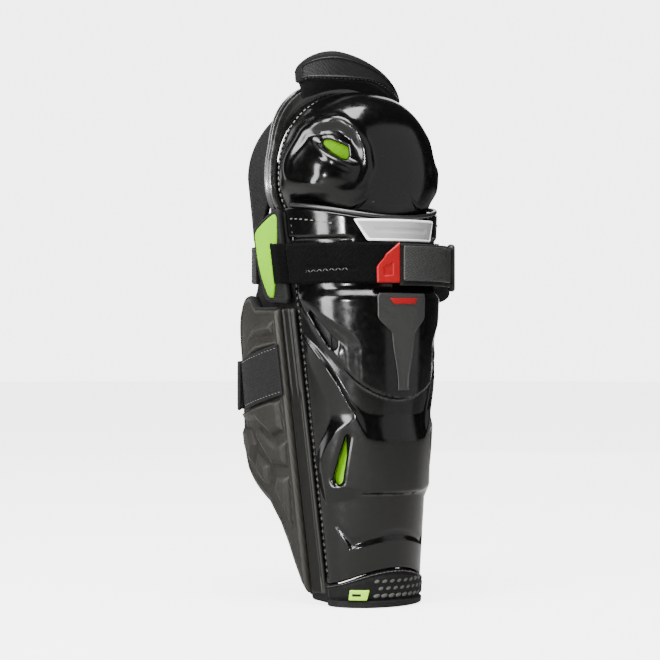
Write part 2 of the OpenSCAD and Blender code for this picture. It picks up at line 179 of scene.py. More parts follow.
@dataclass(frozen=True)
class GuardForm:
    """The surfaces that every piece lies on, with the same sizes as the part's source.

    Only cap_sweep is this model's own: how much further back the cap's sides reach than its solid's.
    """

    ankle_half_width: float = 34.0
    knee_half_width: float = 57.0
    ankle_depth: float = 27.0
    knee_depth: float = 54.0
    shin_bow: float = 3.0
    ankle_y: float = -17.0
    knee_y: float = 3.0
    form_top: float = 270.0
    calf_bulge: float = 11.0
    calf_curl: float = 28.0
    calf_line: float = 0.085
    knee_axis_y: float = 12.0
    knee_axis_z: float = 287.0
    cap_half_width: float = 54.0
    cap_depth: float = 52.0
    cap_rise: float = 58.0
    cap_drop: float = 60.0
    cap_fullness: float = 3.3
    cap_waist: float = 0.06
    cap_lip_z: float = 251.0
    cheek_rise: float = 4.5
    cap_sweep: float = 9.0

    def half_width(self, z: Array) -> Array:
        """Half width of the shin at a height."""
        return lerp(self.ankle_half_width, self.knee_half_width, z / self.form_top)

    def front_depth(self, z: Array) -> Array:
        """Depth of the shin in front of its section's centre at a height."""
        share = np.clip(z / self.form_top, 0, 1)
        return lerp(self.ankle_depth, self.knee_depth, z / self.form_top) + self.shin_bow * np.sin(np.pi * share)

    def centre_y(self, z: Array) -> Array:
        """Place of the section's centre at a height."""
        return lerp(self.ankle_y, self.knee_y, z / self.form_top)

    def on_shin(self, phi: Array, z: Array, off: Array) -> Array:
        """Points on the shin.

        Args:
            phi: Degrees round the leg from the front, towards medial.
            z: Height.
            off: How far they stand out.

        Returns:
            The points as rows.
        """
        turn = np.radians(phi)
        return stack(
            (self.half_width(z) + off) * np.sin(turn),
            self.centre_y(z) - (self.front_depth(z) + off) * np.cos(turn),
            z,
        )

    def side_out(self, s: Array, z: Array, bulge: float, curl: float) -> Array:
        """How far the lateral side stands out from the leg's axis."""
        return (
            self.half_width(z)
            + bulge * np.sin(np.radians(1.5 * s))
            - curl * (s / 100.0) ** 3
            + self.calf_line * (150.0 - z) * (s / 80.0) ** 2
        )

    def on_side(
        self, s: Array, z: Array, off: Array, side: Side = Side.LATERAL, bulge: float | None = None,
        curl: float | None = None,
    ) -> Array:
        """Points beside and behind the shell's edge.

        Args:
            s: Distance behind the shell's edge.
            z: Height.
            off: How far they stand out.
            side: Side of the leg.
            bulge: How far the side bulges, the calf's own when left out.
            curl: How far it curls in behind, the calf's own when left out.

        Returns:
            The points as rows.
        """
        bulge = self.calf_bulge if bulge is None else bulge
        curl = self.calf_curl if curl is None else curl
        slope = (self.side_out(s + 1, z, bulge, curl) - self.side_out(s - 1, z, bulge, curl)) / 2.0
        length = np.sqrt(1.0 + slope * slope)
        out = self.side_out(s, z, bulge, curl) + off / length
        return stack(-side.value * out, self.centre_y(z) + s - off * slope / length, z)

    @staticmethod
    def fullness(angle: Array, n: float) -> Array:
        """Radius of a superellipse at an angle in degrees, 1 on its axes."""
        turn = np.radians(angle)
        return (np.abs(np.cos(turn)) ** n + np.abs(np.sin(turn)) ** n) ** (-1.0 / n)

    def on_cap(self, beta: Array, psi: Array, off: Array) -> Array:
        """Points on the knee cap.

        Args:
            beta: Degrees round its rim from lateral (0) over the top (90).
            psi: Degrees from its front pole.
            off: How far they stand out.

        Returns:
            The points as rows.
        """
        b, p = np.radians(beta), np.radians(psi)
        full = self.fullness(psi, self.cap_fullness)
        over = np.sin(b) > 0
        round_ = np.sin(p) * full * np.where(over, self.fullness(beta, 2.2), 1.0)
        waist = 1.0 - self.cap_waist * ease(-np.sin(b), 0.15, 0.6)
        sweep = self.cap_sweep * ease(psi, 38, 88) * np.abs(np.cos(b)) ** 1.5
        return stack(
            -(self.cap_half_width + off) * round_ * np.cos(b) * waist,
            self.knee_axis_y - (self.cap_depth + off) * np.cos(p) * full + sweep,
            self.knee_axis_z + (np.where(over, self.cap_rise, self.cap_drop) + off) * round_ * np.sin(b),
        )

    def cap_edge(self, beta: Array) -> Array:
        """Where the cap ends: on its back plane above, and on a level lip below."""
        lip = (self.knee_axis_z - self.cap_lip_z) / self.cap_drop
        reach = math.sin(math.radians(88)) * self.fullness(np.array(88.0), self.cap_fullness)
        share = lip / np.maximum(-np.sin(np.radians(beta)), lip / reach)
        return np.degrees(np.arctan(share / (1.0 - share**self.cap_fullness) ** (1.0 / self.cap_fullness)))

    def cheek(self, beta: Array, psi: Array) -> Array:
        """How far the cap's two cheeks stand out."""
        turn = np.where(np.cos(np.radians(beta)) > 0, beta, 180.0 - beta)
        turn = np.where(turn > 180, turn - 360, turn) + 4.0
        share = np.where(turn > 0, 1.0 - ease(turn, 6, 30), 1.0 - ease(-turn, 2, 17))
        return self.cheek_rise * share * ease(psi, 32, 56) * (1.0 - ease(psi, 70, 87))

    def cap_disc(self, u: Array, v: Array, shrink: float = 1.0) -> tuple[Array, Array]:
        """The unit square pressed onto the round cap, as its two angles."""
        p, q = 2 * u - 1, 2 * v - 1
        x, y = p * np.sqrt(1 - q * q / 2), q * np.sqrt(1 - p * p / 2)
        beta = np.degrees(np.arctan2(y, -x))
        return beta, self.cap_edge(beta) * np.hypot(x, y) * shrink

    def shell_foot(self, phi: Array) -> Array:
        """Height of the shin shell's lower edge."""
        return lerp(15.0, 26.0, np.cos(np.radians(phi)) ** 2)

    def shell_rim(self, phi: Array) -> Array:
        """Height of the shin shell's upper edge."""
        return lerp(265.0, 256.0, np.cos(np.radians(phi)) ** 2)


FORM = GuardForm()


# ------------------------ mesh building


def vertices_of(mesh: bpy.types.Mesh) -> Array:
    """The mesh's vertices as rows."""
    flat = np.empty(len(mesh.vertices) * 3)
    mesh.vertices.foreach_get("co", flat)
    return flat.reshape(-1, 3)


def corners_of(mesh: bpy.types.Mesh) -> Array:
    """The vertex that each face corner of the mesh uses."""
    corners = np.empty(len(mesh.loops), int)
    mesh.loops.foreach_get("vertex_index", corners)
    return corners


def move_vertices(mesh: bpy.types.Mesh, points: Array) -> None:
    """Moves the mesh's vertices to points in millimetres."""
    mesh.vertices.foreach_set("co", (points * MM).astype(np.float32).ravel())
    mesh.update()


@dataclass
class Sheet:
    """A closed sheet with rolled edges, laid between two offsets of a surface.

    Args:
        name: The piece's name.
        place: Surface (u, v, off) to points in millimetres.
        size: Real length along u and v.
        cells: Number of cells along u and v.
        low: Inner offset.
        high: Outer offset.
        roll: Radius of the rolled edge.
        corner: Radius of the outline's corners.
        emboss: Extra outer height as a field of (u, v).
        lining: How much of the emboss the inner face follows.
        holes: Distance from the openings' edges as a field of (u, v), negative inside them.
        seam: Whether the ends at u = 0 and u = 1 meet.
    """

    name: str
    place: Place
    size: tuple[float, float]
    cells: tuple[int, int]
    low: float
    high: float
    roll: float
    corner: float = 0.0
    emboss: Field | None = None
    lining: float = 0.0
    holes: Field | None = None
    seam: bool = False

    def spaced(self, share: Array, length: float, cells: int) -> Array:
        """Grid lines drawn together along a rolled edge."""
        rim = min(self.roll, length / 4)
        ends = [0.0, 0.12 * rim, 0.45 * rim, 1.05 * rim]
        inner = np.linspace(ends[-1], length - ends[-1], max(cells - 5, 2))
        lines = np.array([*ends[:-1], *inner, *[length - e for e in ends[-2::-1]]]) / length
        return np.interp(share, np.linspace(0, 1, len(lines)), lines)

    def squared_corners(self, u: Array, v: Array) -> Array:
        """v drawn in towards the middle near the ends, so that the outline's corners are round."""
        if not self.corner:
            return v
        near = np.minimum(u, 1 - u) * self.size[0]
        inset = self.corner - np.sqrt(np.maximum(self.corner**2 - np.maximum(self.corner - near, 0) ** 2, 0))
        return (inset + v * (self.size[1] - 2 * inset)) / self.size[1]

    def rolled(self, u: Array, v: Array) -> Array:
        """Share of the full thickness: 0 on the edge, 1 beyond the roll."""

        def quarter(distance: Array) -> Array:
            return np.sqrt(np.maximum(1.0 - (1.0 - np.clip(distance / self.roll, 0, 1)) ** 2, 0.0))

        share = quarter(np.minimum(v, 1 - v) * self.size[1])
        if not self.seam:
            share = share * quarter(np.minimum(u, 1 - u) * self.size[0])
        if self.holes is not None:
            share = share * quarter(self.holes(u, v))
        return share

    def snap_to_holes(self, obj: bpy.types.Object, u: Array, v: Array) -> tuple[Array, Array]:
        """Cuts the openings out of the flat grid and draws the cells round them to their edge.

        Args:
            obj: The flat grid.
            u: First parameter of each vertex.
            v: Second parameter of each vertex.

        Returns:
            Both parameters of the vertices that are left.
        """
        assert self.holes is not None
        distance = self.holes(u, v)
        bpy.ops.object.mode_set(mode="EDIT")
        bpy.ops.mesh.select_all(action="DESELECT")
        bpy.ops.object.mode_set(mode="OBJECT")
        mesh = obj.data
        mesh.polygons.foreach_set("select", (distance[corners_of(mesh).reshape(-1, 4)] < 0).all(axis=1))
        mesh.attributes.new("u", "FLOAT", "POINT").data.foreach_set("value", u.astype(np.float32))
        mesh.attributes.new("v", "FLOAT", "POINT").data.foreach_set("value", v.astype(np.float32))
        bpy.ops.object.mode_set(mode="EDIT")
        bpy.ops.mesh.select_mode(type="FACE")
        bpy.ops.mesh.delete(type="FACE")
        bpy.ops.mesh.select_mode(type="VERT")
        bpy.ops.object.mode_set(mode="OBJECT")
        u, v = np.empty(len(mesh.vertices)), np.empty(len(mesh.vertices))
        mesh.attributes["u"].data.foreach_get("value", u)
        mesh.attributes["v"].data.foreach_get("value", v)
        for name in ("u", "v"):
            mesh.attributes.remove(mesh.attributes[name])
        for _ in range(4):
            distance = self.holes(u, v)
            step = 0.05
            du = (self.holes(u + step / self.size[0], v) - distance) / step
            dv = (self.holes(u, v + step / self.size[1]) - distance) / step
            pull = np.where(distance < 0, -distance, 0) / np.maximum(du * du + dv * dv, 0.05)
            u, v = u + pull * du / self.size[0], v + pull * dv / self.size[1]
        return u, v

    def skin(self, obj: bpy.types.Object, u: Array, v: Array, outer: bool) -> None:
        """Moves the grid's vertices onto the sheet's outer or inner face."""
        middle = (self.low + self.high) / 2
        share = self.rolled(u, v)
        raised = self.emboss(u, v) if self.emboss else 0.0
        if outer:
            off = middle + ((self.high - middle) + raised) * share
        else:
            off = middle + ((self.low - middle) + raised * self.lining) * share
        move_vertices(obj.data, self.place(u, self.squared_corners(u, v), off + raised * self.lining * (1 - share)))

    def build(self) -> bpy.types.Object:
        """Builds the sheet.

        Returns:
            The piece, closed, with its normals outwards and a UV map whose unit is a millimetre.
        """
        bpy.ops.object.select_all(action="DESELECT")
        bpy.ops.mesh.primitive_grid_add(
            x_subdivisions=self.cells[0], y_subdivisions=self.cells[1], size=1, location=(0, 0, 0)
        )
        obj = bpy.context.object
        obj.name = obj.data.name = self.name
        flat = vertices_of(obj.data)
        share_u, share_v = np.clip(flat[:, 0] + 0.5, 0, 1), np.clip(flat[:, 1] + 0.5, 0, 1)
        u = share_u if self.seam else self.spaced(share_u, self.size[0], self.cells[0])
        v = self.spaced(share_v, self.size[1], self.cells[1])
        if self.holes is not None:
            u, v = self.snap_to_holes(obj, u, v)
        while obj.data.uv_layers:
            obj.data.uv_layers.remove(obj.data.uv_layers[0])
        cloth = obj.data.uv_layers.new(name="UVMap")
        lengths = np.stack([u * self.size[0], v * self.size[1]], -1)
        cloth.data.foreach_set("uv", lengths[corners_of(obj.data)].ravel())
        self.skin(obj, u, v, outer=True)
        bpy.ops.object.duplicate()
        inner = bpy.context.object
        self.skin(inner, u, v, outer=False)
        bpy.ops.object.mode_set(mode="EDIT")
        bpy.ops.mesh.select_all(action="SELECT")
        bpy.ops.mesh.flip_normals()
        bpy.ops.object.mode_set(mode="OBJECT")
        obj.select_set(True)
        bpy.context.view_layer.objects.active = obj
        bpy.ops.object.join()
        close_up(obj)
        return obj


def close_up(obj: bpy.types.Object, gap: float = 0.00002) -> None:
    """Merges a piece's doubles, turns its faces outwards and smooths it."""
    bpy.ops.object.select_all(action="DESELECT")
    obj.select_set(True)
    bpy.context.view_layer.objects.active = obj
    bpy.ops.object.mode_set(mode="EDIT")
    bpy.ops.mesh.select_all(action="SELECT")
    bpy.ops.mesh.remove_doubles(threshold=gap)
    bpy.ops.mesh.dissolve_degenerate(threshold=gap / 4)
    bpy.ops.mesh.normals_make_consistent(inside=False)
    bpy.ops.object.mode_set(mode="OBJECT")
    bpy.ops.object.shade_smooth_by_angle(angle=math.radians(50))


@dataclass
class Bead:
    """A closed bead with an oval section along a path, drawn to a point at both ends.

    Args:
        name: The piece's name.
        path: Share along the bead, across and up to points in millimetres: path(t, across, up).
        length: Real length.
        radii: Half width and half height of the section.
        cells: Cells along and round the bead.
    """

    name: str
    path: Place
    length: float
    radii: tuple[float, float]
    cells: tuple[int, int] = (120, 14)

    def build(self) -> bpy.types.Object:
        """Builds the bead and returns it."""
        bpy.ops.object.select_all(action="DESELECT")
        bpy.ops.mesh.primitive_grid_add(x_subdivisions=self.cells[0], y_subdivisions=self.cells[1], size=1)
        obj = bpy.context.object
        obj.name = obj.data.name = self.name
        flat = vertices_of(obj.data)
        t, turn = np.clip(flat[:, 0] + 0.5, 0, 1), 2 * np.pi * (flat[:, 1] + 0.5)
        taper = np.sqrt(np.maximum(1 - (1 - np.clip(np.minimum(t, 1 - t) * self.length / 2.5, 0, 1)) ** 2, 0))
        points = self.path(t, self.radii[0] * taper * np.cos(turn), self.radii[1] * taper * np.sin(turn))
        lengths = np.stack([t * self.length, turn * sum(self.radii) / 2], -1)
        obj.data.uv_layers[0].data.foreach_set("uv", lengths[corners_of(obj.data)].ravel())
        move_vertices(obj.data, points)
        close_up(obj)
        return obj


def sew(
    name: str, points: Array, ahead: Array, out: Array, size: Point, sides: int = 6
) -> bpy.types.Object:
    """Lays copies of one small rounded stitch, dot or fibre on a surface, as one piece.

    Args:
        name: The piece's name.
        points: Middle of each copy, in millimetres.
        ahead: Direction that each copy's length runs in.
        out: Direction that each copy stands out in.
        size: Half length, half width and half height of a copy.
        sides: How many sides the small round shape has.

    Returns:
        The piece.
    """
    bpy.ops.object.select_all(action="DESELECT")
    bpy.ops.mesh.primitive_uv_sphere_add(segments=sides, ring_count=4, radius=1)
    obj = bpy.context.object
    obj.name = obj.data.name = name
    bpy.ops.object.mode_set(mode="EDIT")
    bpy.ops.mesh.select_all(action="SELECT")
    bpy.ops.transform.resize(value=size)
    bpy.ops.object.mode_set(mode="OBJECT")
    one = vertices_of(obj.data)
    faces = [tuple(p.vertices) for p in obj.data.polygons]
    ahead = ahead / np.linalg.norm(ahead, axis=1, keepdims=True)
    across = np.cross(out, ahead)
    across /= np.linalg.norm(across, axis=1, keepdims=True)
    up = np.cross(ahead, across)
    body = (
        points[:, None]
        + one[None, :, 0:1] * ahead[:, None]
        + one[None, :, 1:2] * across[:, None]
        + one[None, :, 2:3] * up[:, None]
    )
    mesh = bpy.data.meshes.new(name)
    count = len(one)
    mesh.from_pydata(
        (body.reshape(-1, 3) * MM).tolist(),
        [],
        [tuple(i + k * count for i in face) for k in range(len(points)) for face in faces],
    )
    obj.data = mesh
    mesh.polygons.foreach_set("use_smooth", [True] * len(mesh.polygons))
    return obj


def sew_rows(
    name: str, rows: Sequence[tuple[Array, Array, Array]], size: Point, sides: int = 6
) -> bpy.types.Object:
    """Lays several rows of the same stitch as one piece.

    Args:
        name: The piece's name.
        rows: Middles, directions ahead and directions out of each row's copies.
        size: Half length, half width and half height of a copy.
        sides: How many sides the small round shape has.

    Returns:
        The piece.
    """
    points, ahead, out = (np.concatenate(part) for part in zip(*rows))
    return sew(name, points, ahead, out, size, sides)


def frames_on(place: Callable[[Array, Array], Array], a: Array, b: Array) -> tuple[Array, Array, Array, Array]:
    """Points and directions on a surface.

    Args:
        place: Surface (a, b) to points.
        a: First coordinate.
        b: Second coordinate.

    Returns:
        The points, the direction of growing a, the direction of growing b, and the outward direction.
    """
    point = place(a, b)
    along, up = place(a + 0.1, b) - point, place(a, b + 0.1) - point
    along /= np.linalg.norm(along, axis=1, keepdims=True)
    up /= np.linalg.norm(up, axis=1, keepdims=True)
    return point, along, up, np.cross(along, up)


# ------------------------ the finishes


class Pattern(Enum):
    """The small pattern that a finish has, as layers of (texture, turn in degrees, stretch along and across)."""

    MOULDED = (("noise", 0.0, (1.0, 1.0)),)
    FINE_LINES = (("wave", 58.0, (1.0, 1.0)),)
    WEAVE = (("wave", 0.0, (1.0, 1.0)), ("wave", 90.0, (1.0, 1.0)))
    TWILL = (("wave", 35.0, (1.0, 1.0)), ("wave", -55.0, (0.5, 0.5)))
    KNIT = (("wave", 28.0, (1.0, 1.0)), ("wave", -28.0, (1.0, 1.0)))
    PILE = (("noise", 20.0, (1.0, 0.35)), ("noise", -30.0, (0.3, 1.0)))
    HOOKS = (("cells", 0.0, (1.0, 1.0)),)
    RIBS = (("wave", 12.0, (1.0, 1.0)),)
    BRUSHED = (("noise", 0.0, (0.06, 1.0)),)


@dataclass(frozen=True)
class Finish:
    """One finish: its colours, its gloss and its small pattern.

    Args:
        name: What the real material is and how it's made.
        colour: sRGB hex of the surface.
        shade: sRGB hex that it drifts to in broad patches; the darkening in its hollows is painted shade, set by
            contrast.
        roughness: Roughness where it is smoothest.
        rough_swing: How much rougher it is where it is roughest.
        pattern: The small pattern.
        pitch: Spacing of the pattern in millimetres.
        depth: Depth of the pattern in millimetres.
        coat: Share of clear coat.
        sheen: Share of sheen from loose fibres.
        metallic: 1 for a metal, 0 otherwise.
        ior: Index of refraction.
        contrast: How strongly the pattern darkens the colour in its hollows, as painted shade; its tops are lifted a
            little, a faint painted highlight.
        worn: How strongly outward edges are rubbed pale.
        specular: Specular level.
        glow: Light that only the camera sees, for the studio's floor; little of it reaches the pieces.
    """

    name: str
    colour: str
    shade: str
    roughness: float
    rough_swing: float
    pattern: Pattern
    pitch: float
    depth: float
    coat: float = 0.0
    sheen: float = 0.0
    metallic: float = 0.0
    ior: float = 1.5
    contrast: float = 0.0
    worn: float = 0.0
    specular: float = 0.5
    glow: float = 0.0


# Injection-moulded polyethylene, polished mould: near-black with a warm cast, mirror-like but faintly wavy.
SHELL = Finish("polyethylene_injection_moulded_gloss", "#020202", "#040504", 0.13, 0.10, Pattern.MOULDED, 7.0, 0.03,
               ior=1.5, worn=0.2, specular=0.3)
# Thermoplastic rubber, extruded and polished: a slightly softer black gloss with finer waves.
RIM_RUBBER = Finish("thermoplastic_rubber_moulded_gloss", "#070707", "#0F100E", 0.2, 0.14, Pattern.MOULDED, 4.0, 0.03,
                    coat=0.2, ior=1.5, worn=0.35)
# Rubber-coated band, calendered smooth: dark grey with a dull satin light.
SATIN_RUBBER = Finish("rubber_coated_band_calendered_satin", "#070706", "#0C0C0A", 0.36, 0.14, Pattern.MOULDED, 2.2,
                      0.03, ior=1.5, worn=0.2, specular=0.15)
# Vinyl piping, welted: small bright line of light on black.
PIPING = Finish("vinyl_piping_welted", "#0B0B0B", "#141414", 0.28, 0.12, Pattern.WEAVE, 1.1, 0.05, ior=1.5)
# Crest insert, moulded with fine slanted lines (0.9 mm apart): graphite, satin.
CREST = Finish("nylon_insert_moulded_fine_lines", "#121311", "#0B0C0B", 0.38, 0.1, Pattern.FINE_LINES, 0.9, 0.06,
               ior=1.52, contrast=0.35)
# Red polyurethane, moulded: flat clear red with a satin light.
RED = Finish("polyurethane_moulded_red", "#800006", "#6C0005", 0.36, 0.12, Pattern.MOULDED, 1.6, 0.04, ior=1.5,
             specular=0.2)
# Nameplate, hot-stamped metallic foil on plastic: pale silver grey with a fine level brushing.
PLATE = Finish("foil_stamped_plate_silver", "#A3A3A5", "#8E8E90", 0.34, 0.14, Pattern.BRUSHED, 0.5, 0.01, metallic=0.35)
# Its moulded rim, painted white: clean and glossy.
PLATE_RIM = Finish("painted_plastic_rim_white", "#E9E8E8", "#D5D4D4", 0.28, 0.1, Pattern.MOULDED, 2.0, 0.015)
# Lime polyester knit on foam (0.8 mm loops): bright, dull, with painted shade between its small stitches.
LIME = Finish("polyester_knit_lime", "#7ABC00", "#62A200", 0.85, 0.1, Pattern.KNIT, 0.9, 0.12, specular=0.1,
              contrast=0.22)
# The same lime on the lining behind the vents, brushed, with painted shade: deeper and duller, as it lies in shade.
LIME_LINING_SHADED = Finish("polyester_lining_lime_brushed", "#4C7800", "#3A6000", 0.9, 0.08, Pattern.PILE, 1.3, 0.12,
                      specular=0.05, contrast=0.25)
# Lime rubber print, screened: bright and even.
LIME_PRINT = Finish("silicone_print_lime", "#94CE00", "#84BE00", 0.5, 0.1, Pattern.MOULDED, 1.2, 0.03, contrast=0.0)
# Brushed nylon loop pile, drawn at 1.1 mm so that it shows: deep black, its fibre tips paler than the painted shade
# deep in the pile.
PILE = Finish("nylon_loop_pile_brushed", "#020202", "#0A0A0A", 0.9, 0.08, Pattern.PILE, 1.1, 0.5, sheen=0.01,
              specular=0.06, contrast=0.6)
# Nylon hook tape, extruded hooks 1.2 mm apart: black with rows of small glints.
HOOK = Finish("nylon_hook_tape_extruded", "#0D0D0D", "#191919", 0.45, 0.15, Pattern.HOOKS, 1.2, 0.3, contrast=0.5)
# Nylon webbing, plain woven, ribs 1.4 mm apart: black with a dull cross rib.
WEBBING = Finish("nylon_webbing_woven", "#040404", "#0B0B0B", 0.66, 0.14, Pattern.WEAVE, 1.4, 0.16, sheen=0.02,
                 specular=0.2, contrast=0.45)
# Rubber patch, moulded in slanted ribs 1.3 mm apart: dark grey, striped by painted shade in the grooves between the
# ribs.
RIB_PATCH = Finish("rubber_patch_moulded_slanted_ribs", "#262725", "#131413", 0.48, 0.12, Pattern.FINE_LINES, 1.5,
                   0.16, contrast=0.6)
# Thermoformed foam under ribbed polyester: olive grey, with fine ribs 1.3 mm apart.
WRAP = Finish("foam_thermoformed_polyester_olive_grey", "#171611", "#0E0D09", 0.5, 0.16, Pattern.RIBS, 1.3, 0.09,
              sheen=0.02, specular=0.22, contrast=0.3, worn=0.15)
# Wing foam under a twill film, 1.5 mm: dark grey with a slanted silky line like carbon cloth.
WING = Finish("foam_moulded_twill_film", "#0B0B0A", "#050505", 0.45, 0.16, Pattern.TWILL, 1.5, 0.1, sheen=0.01,
              specular=0.18, contrast=0.5)
# Black knit over foam, 1.0 mm loops: soft black with a faint bloom.
KNIT = Finish("polyester_knit_black", "#060606", "#0D0D0C", 0.78, 0.12, Pattern.KNIT, 1.0, 0.1, sheen=0.02,
              specular=0.15, contrast=0.35)
# Brushed lining on foam, 1.4 mm nap: grey black.
LINING = Finish("polyester_lining_brushed", "#171817", "#232422", 0.88, 0.08, Pattern.PILE, 1.4, 0.2, sheen=0.08,
                 specular=0.2, contrast=0.35)
# Elastic, woven with rubber threads 1.6 mm apart: black with a clear cross rib.
ELASTIC = Finish("elastic_woven_ribbed", "#060606", "#0E0E0E", 0.7, 0.12, Pattern.WEAVE, 1.6, 0.2, sheen=0.04,
                 specular=0.35, contrast=0.45)
# Grey print on mesh, screened: dull mid grey.
GREY_PRINT = Finish("ink_print_grey_screened", "#3A3B38", "#2C2D2A", 0.6, 0.1, Pattern.MOULDED, 1.0, 0.03)
# Bonded nylon thread: black, waxed, with a small glint on each stitch.
THREAD = Finish("nylon_thread_bonded_black", "#0A0A0A", "#1B1B1A", 0.3, 0.15, Pattern.MOULDED, 0.6, 0.02, coat=0.2)
# The same black thread painted grey as a painted highlight, where the stitches catch the light.
THREAD_PAINTED_HIGHLIGHT = Finish("nylon_thread_bonded_grey", "#5B5B58", "#454542", 0.4, 0.15, Pattern.MOULDED, 0.6, 0.02)
# Painted plaster floor of the studio, rolled: pale and matt.
FLOOR = Finish("plaster_floor_rolled_white", "#A9A8A6", "#A4A3A1", 0.95, 0.04, Pattern.MOULDED, 60.0, 0.2,
               specular=0.05, glow=10.5)


def linear(hex_colour: str) -> tuple[float, float, float, float]:
    """Turns an sRGB hex value into linear colour.

    Args:
        hex_colour: Six hex digits after a hash.

    Returns:
        Red, green, blue and an alpha of 1.
    """
    parts = [int(hex_colour[i : i + 2], 16) / 255 for i in (1, 3, 5)]
    red, green, blue = (c / 12.92 if c <= 0.04045 else ((c + 0.055) / 1.055) ** 2.4 for c in parts)
    return red, green, blue, 1.0


def add_node(
    tree: bpy.types.NodeTree, kind: str, inputs: dict[str | int, object], **settings: object
) -> bpy.types.Node:
    """Adds a node to a tree.

    Args:
        tree: The tree.
        kind: The node's type.
        inputs: Value, or another node's output socket, for each input.
        settings: The node's own settings.

    Returns:
        The new node.
    """
    node = tree.nodes.new(kind)
    for name, value in settings.items():
        setattr(node, name, value)
    for name, value in inputs.items():
        if isinstance(value, bpy.types.NodeSocket):
            tree.links.new(value, node.inputs[name])
        else:
            node.inputs[name].default_value = value
    return node


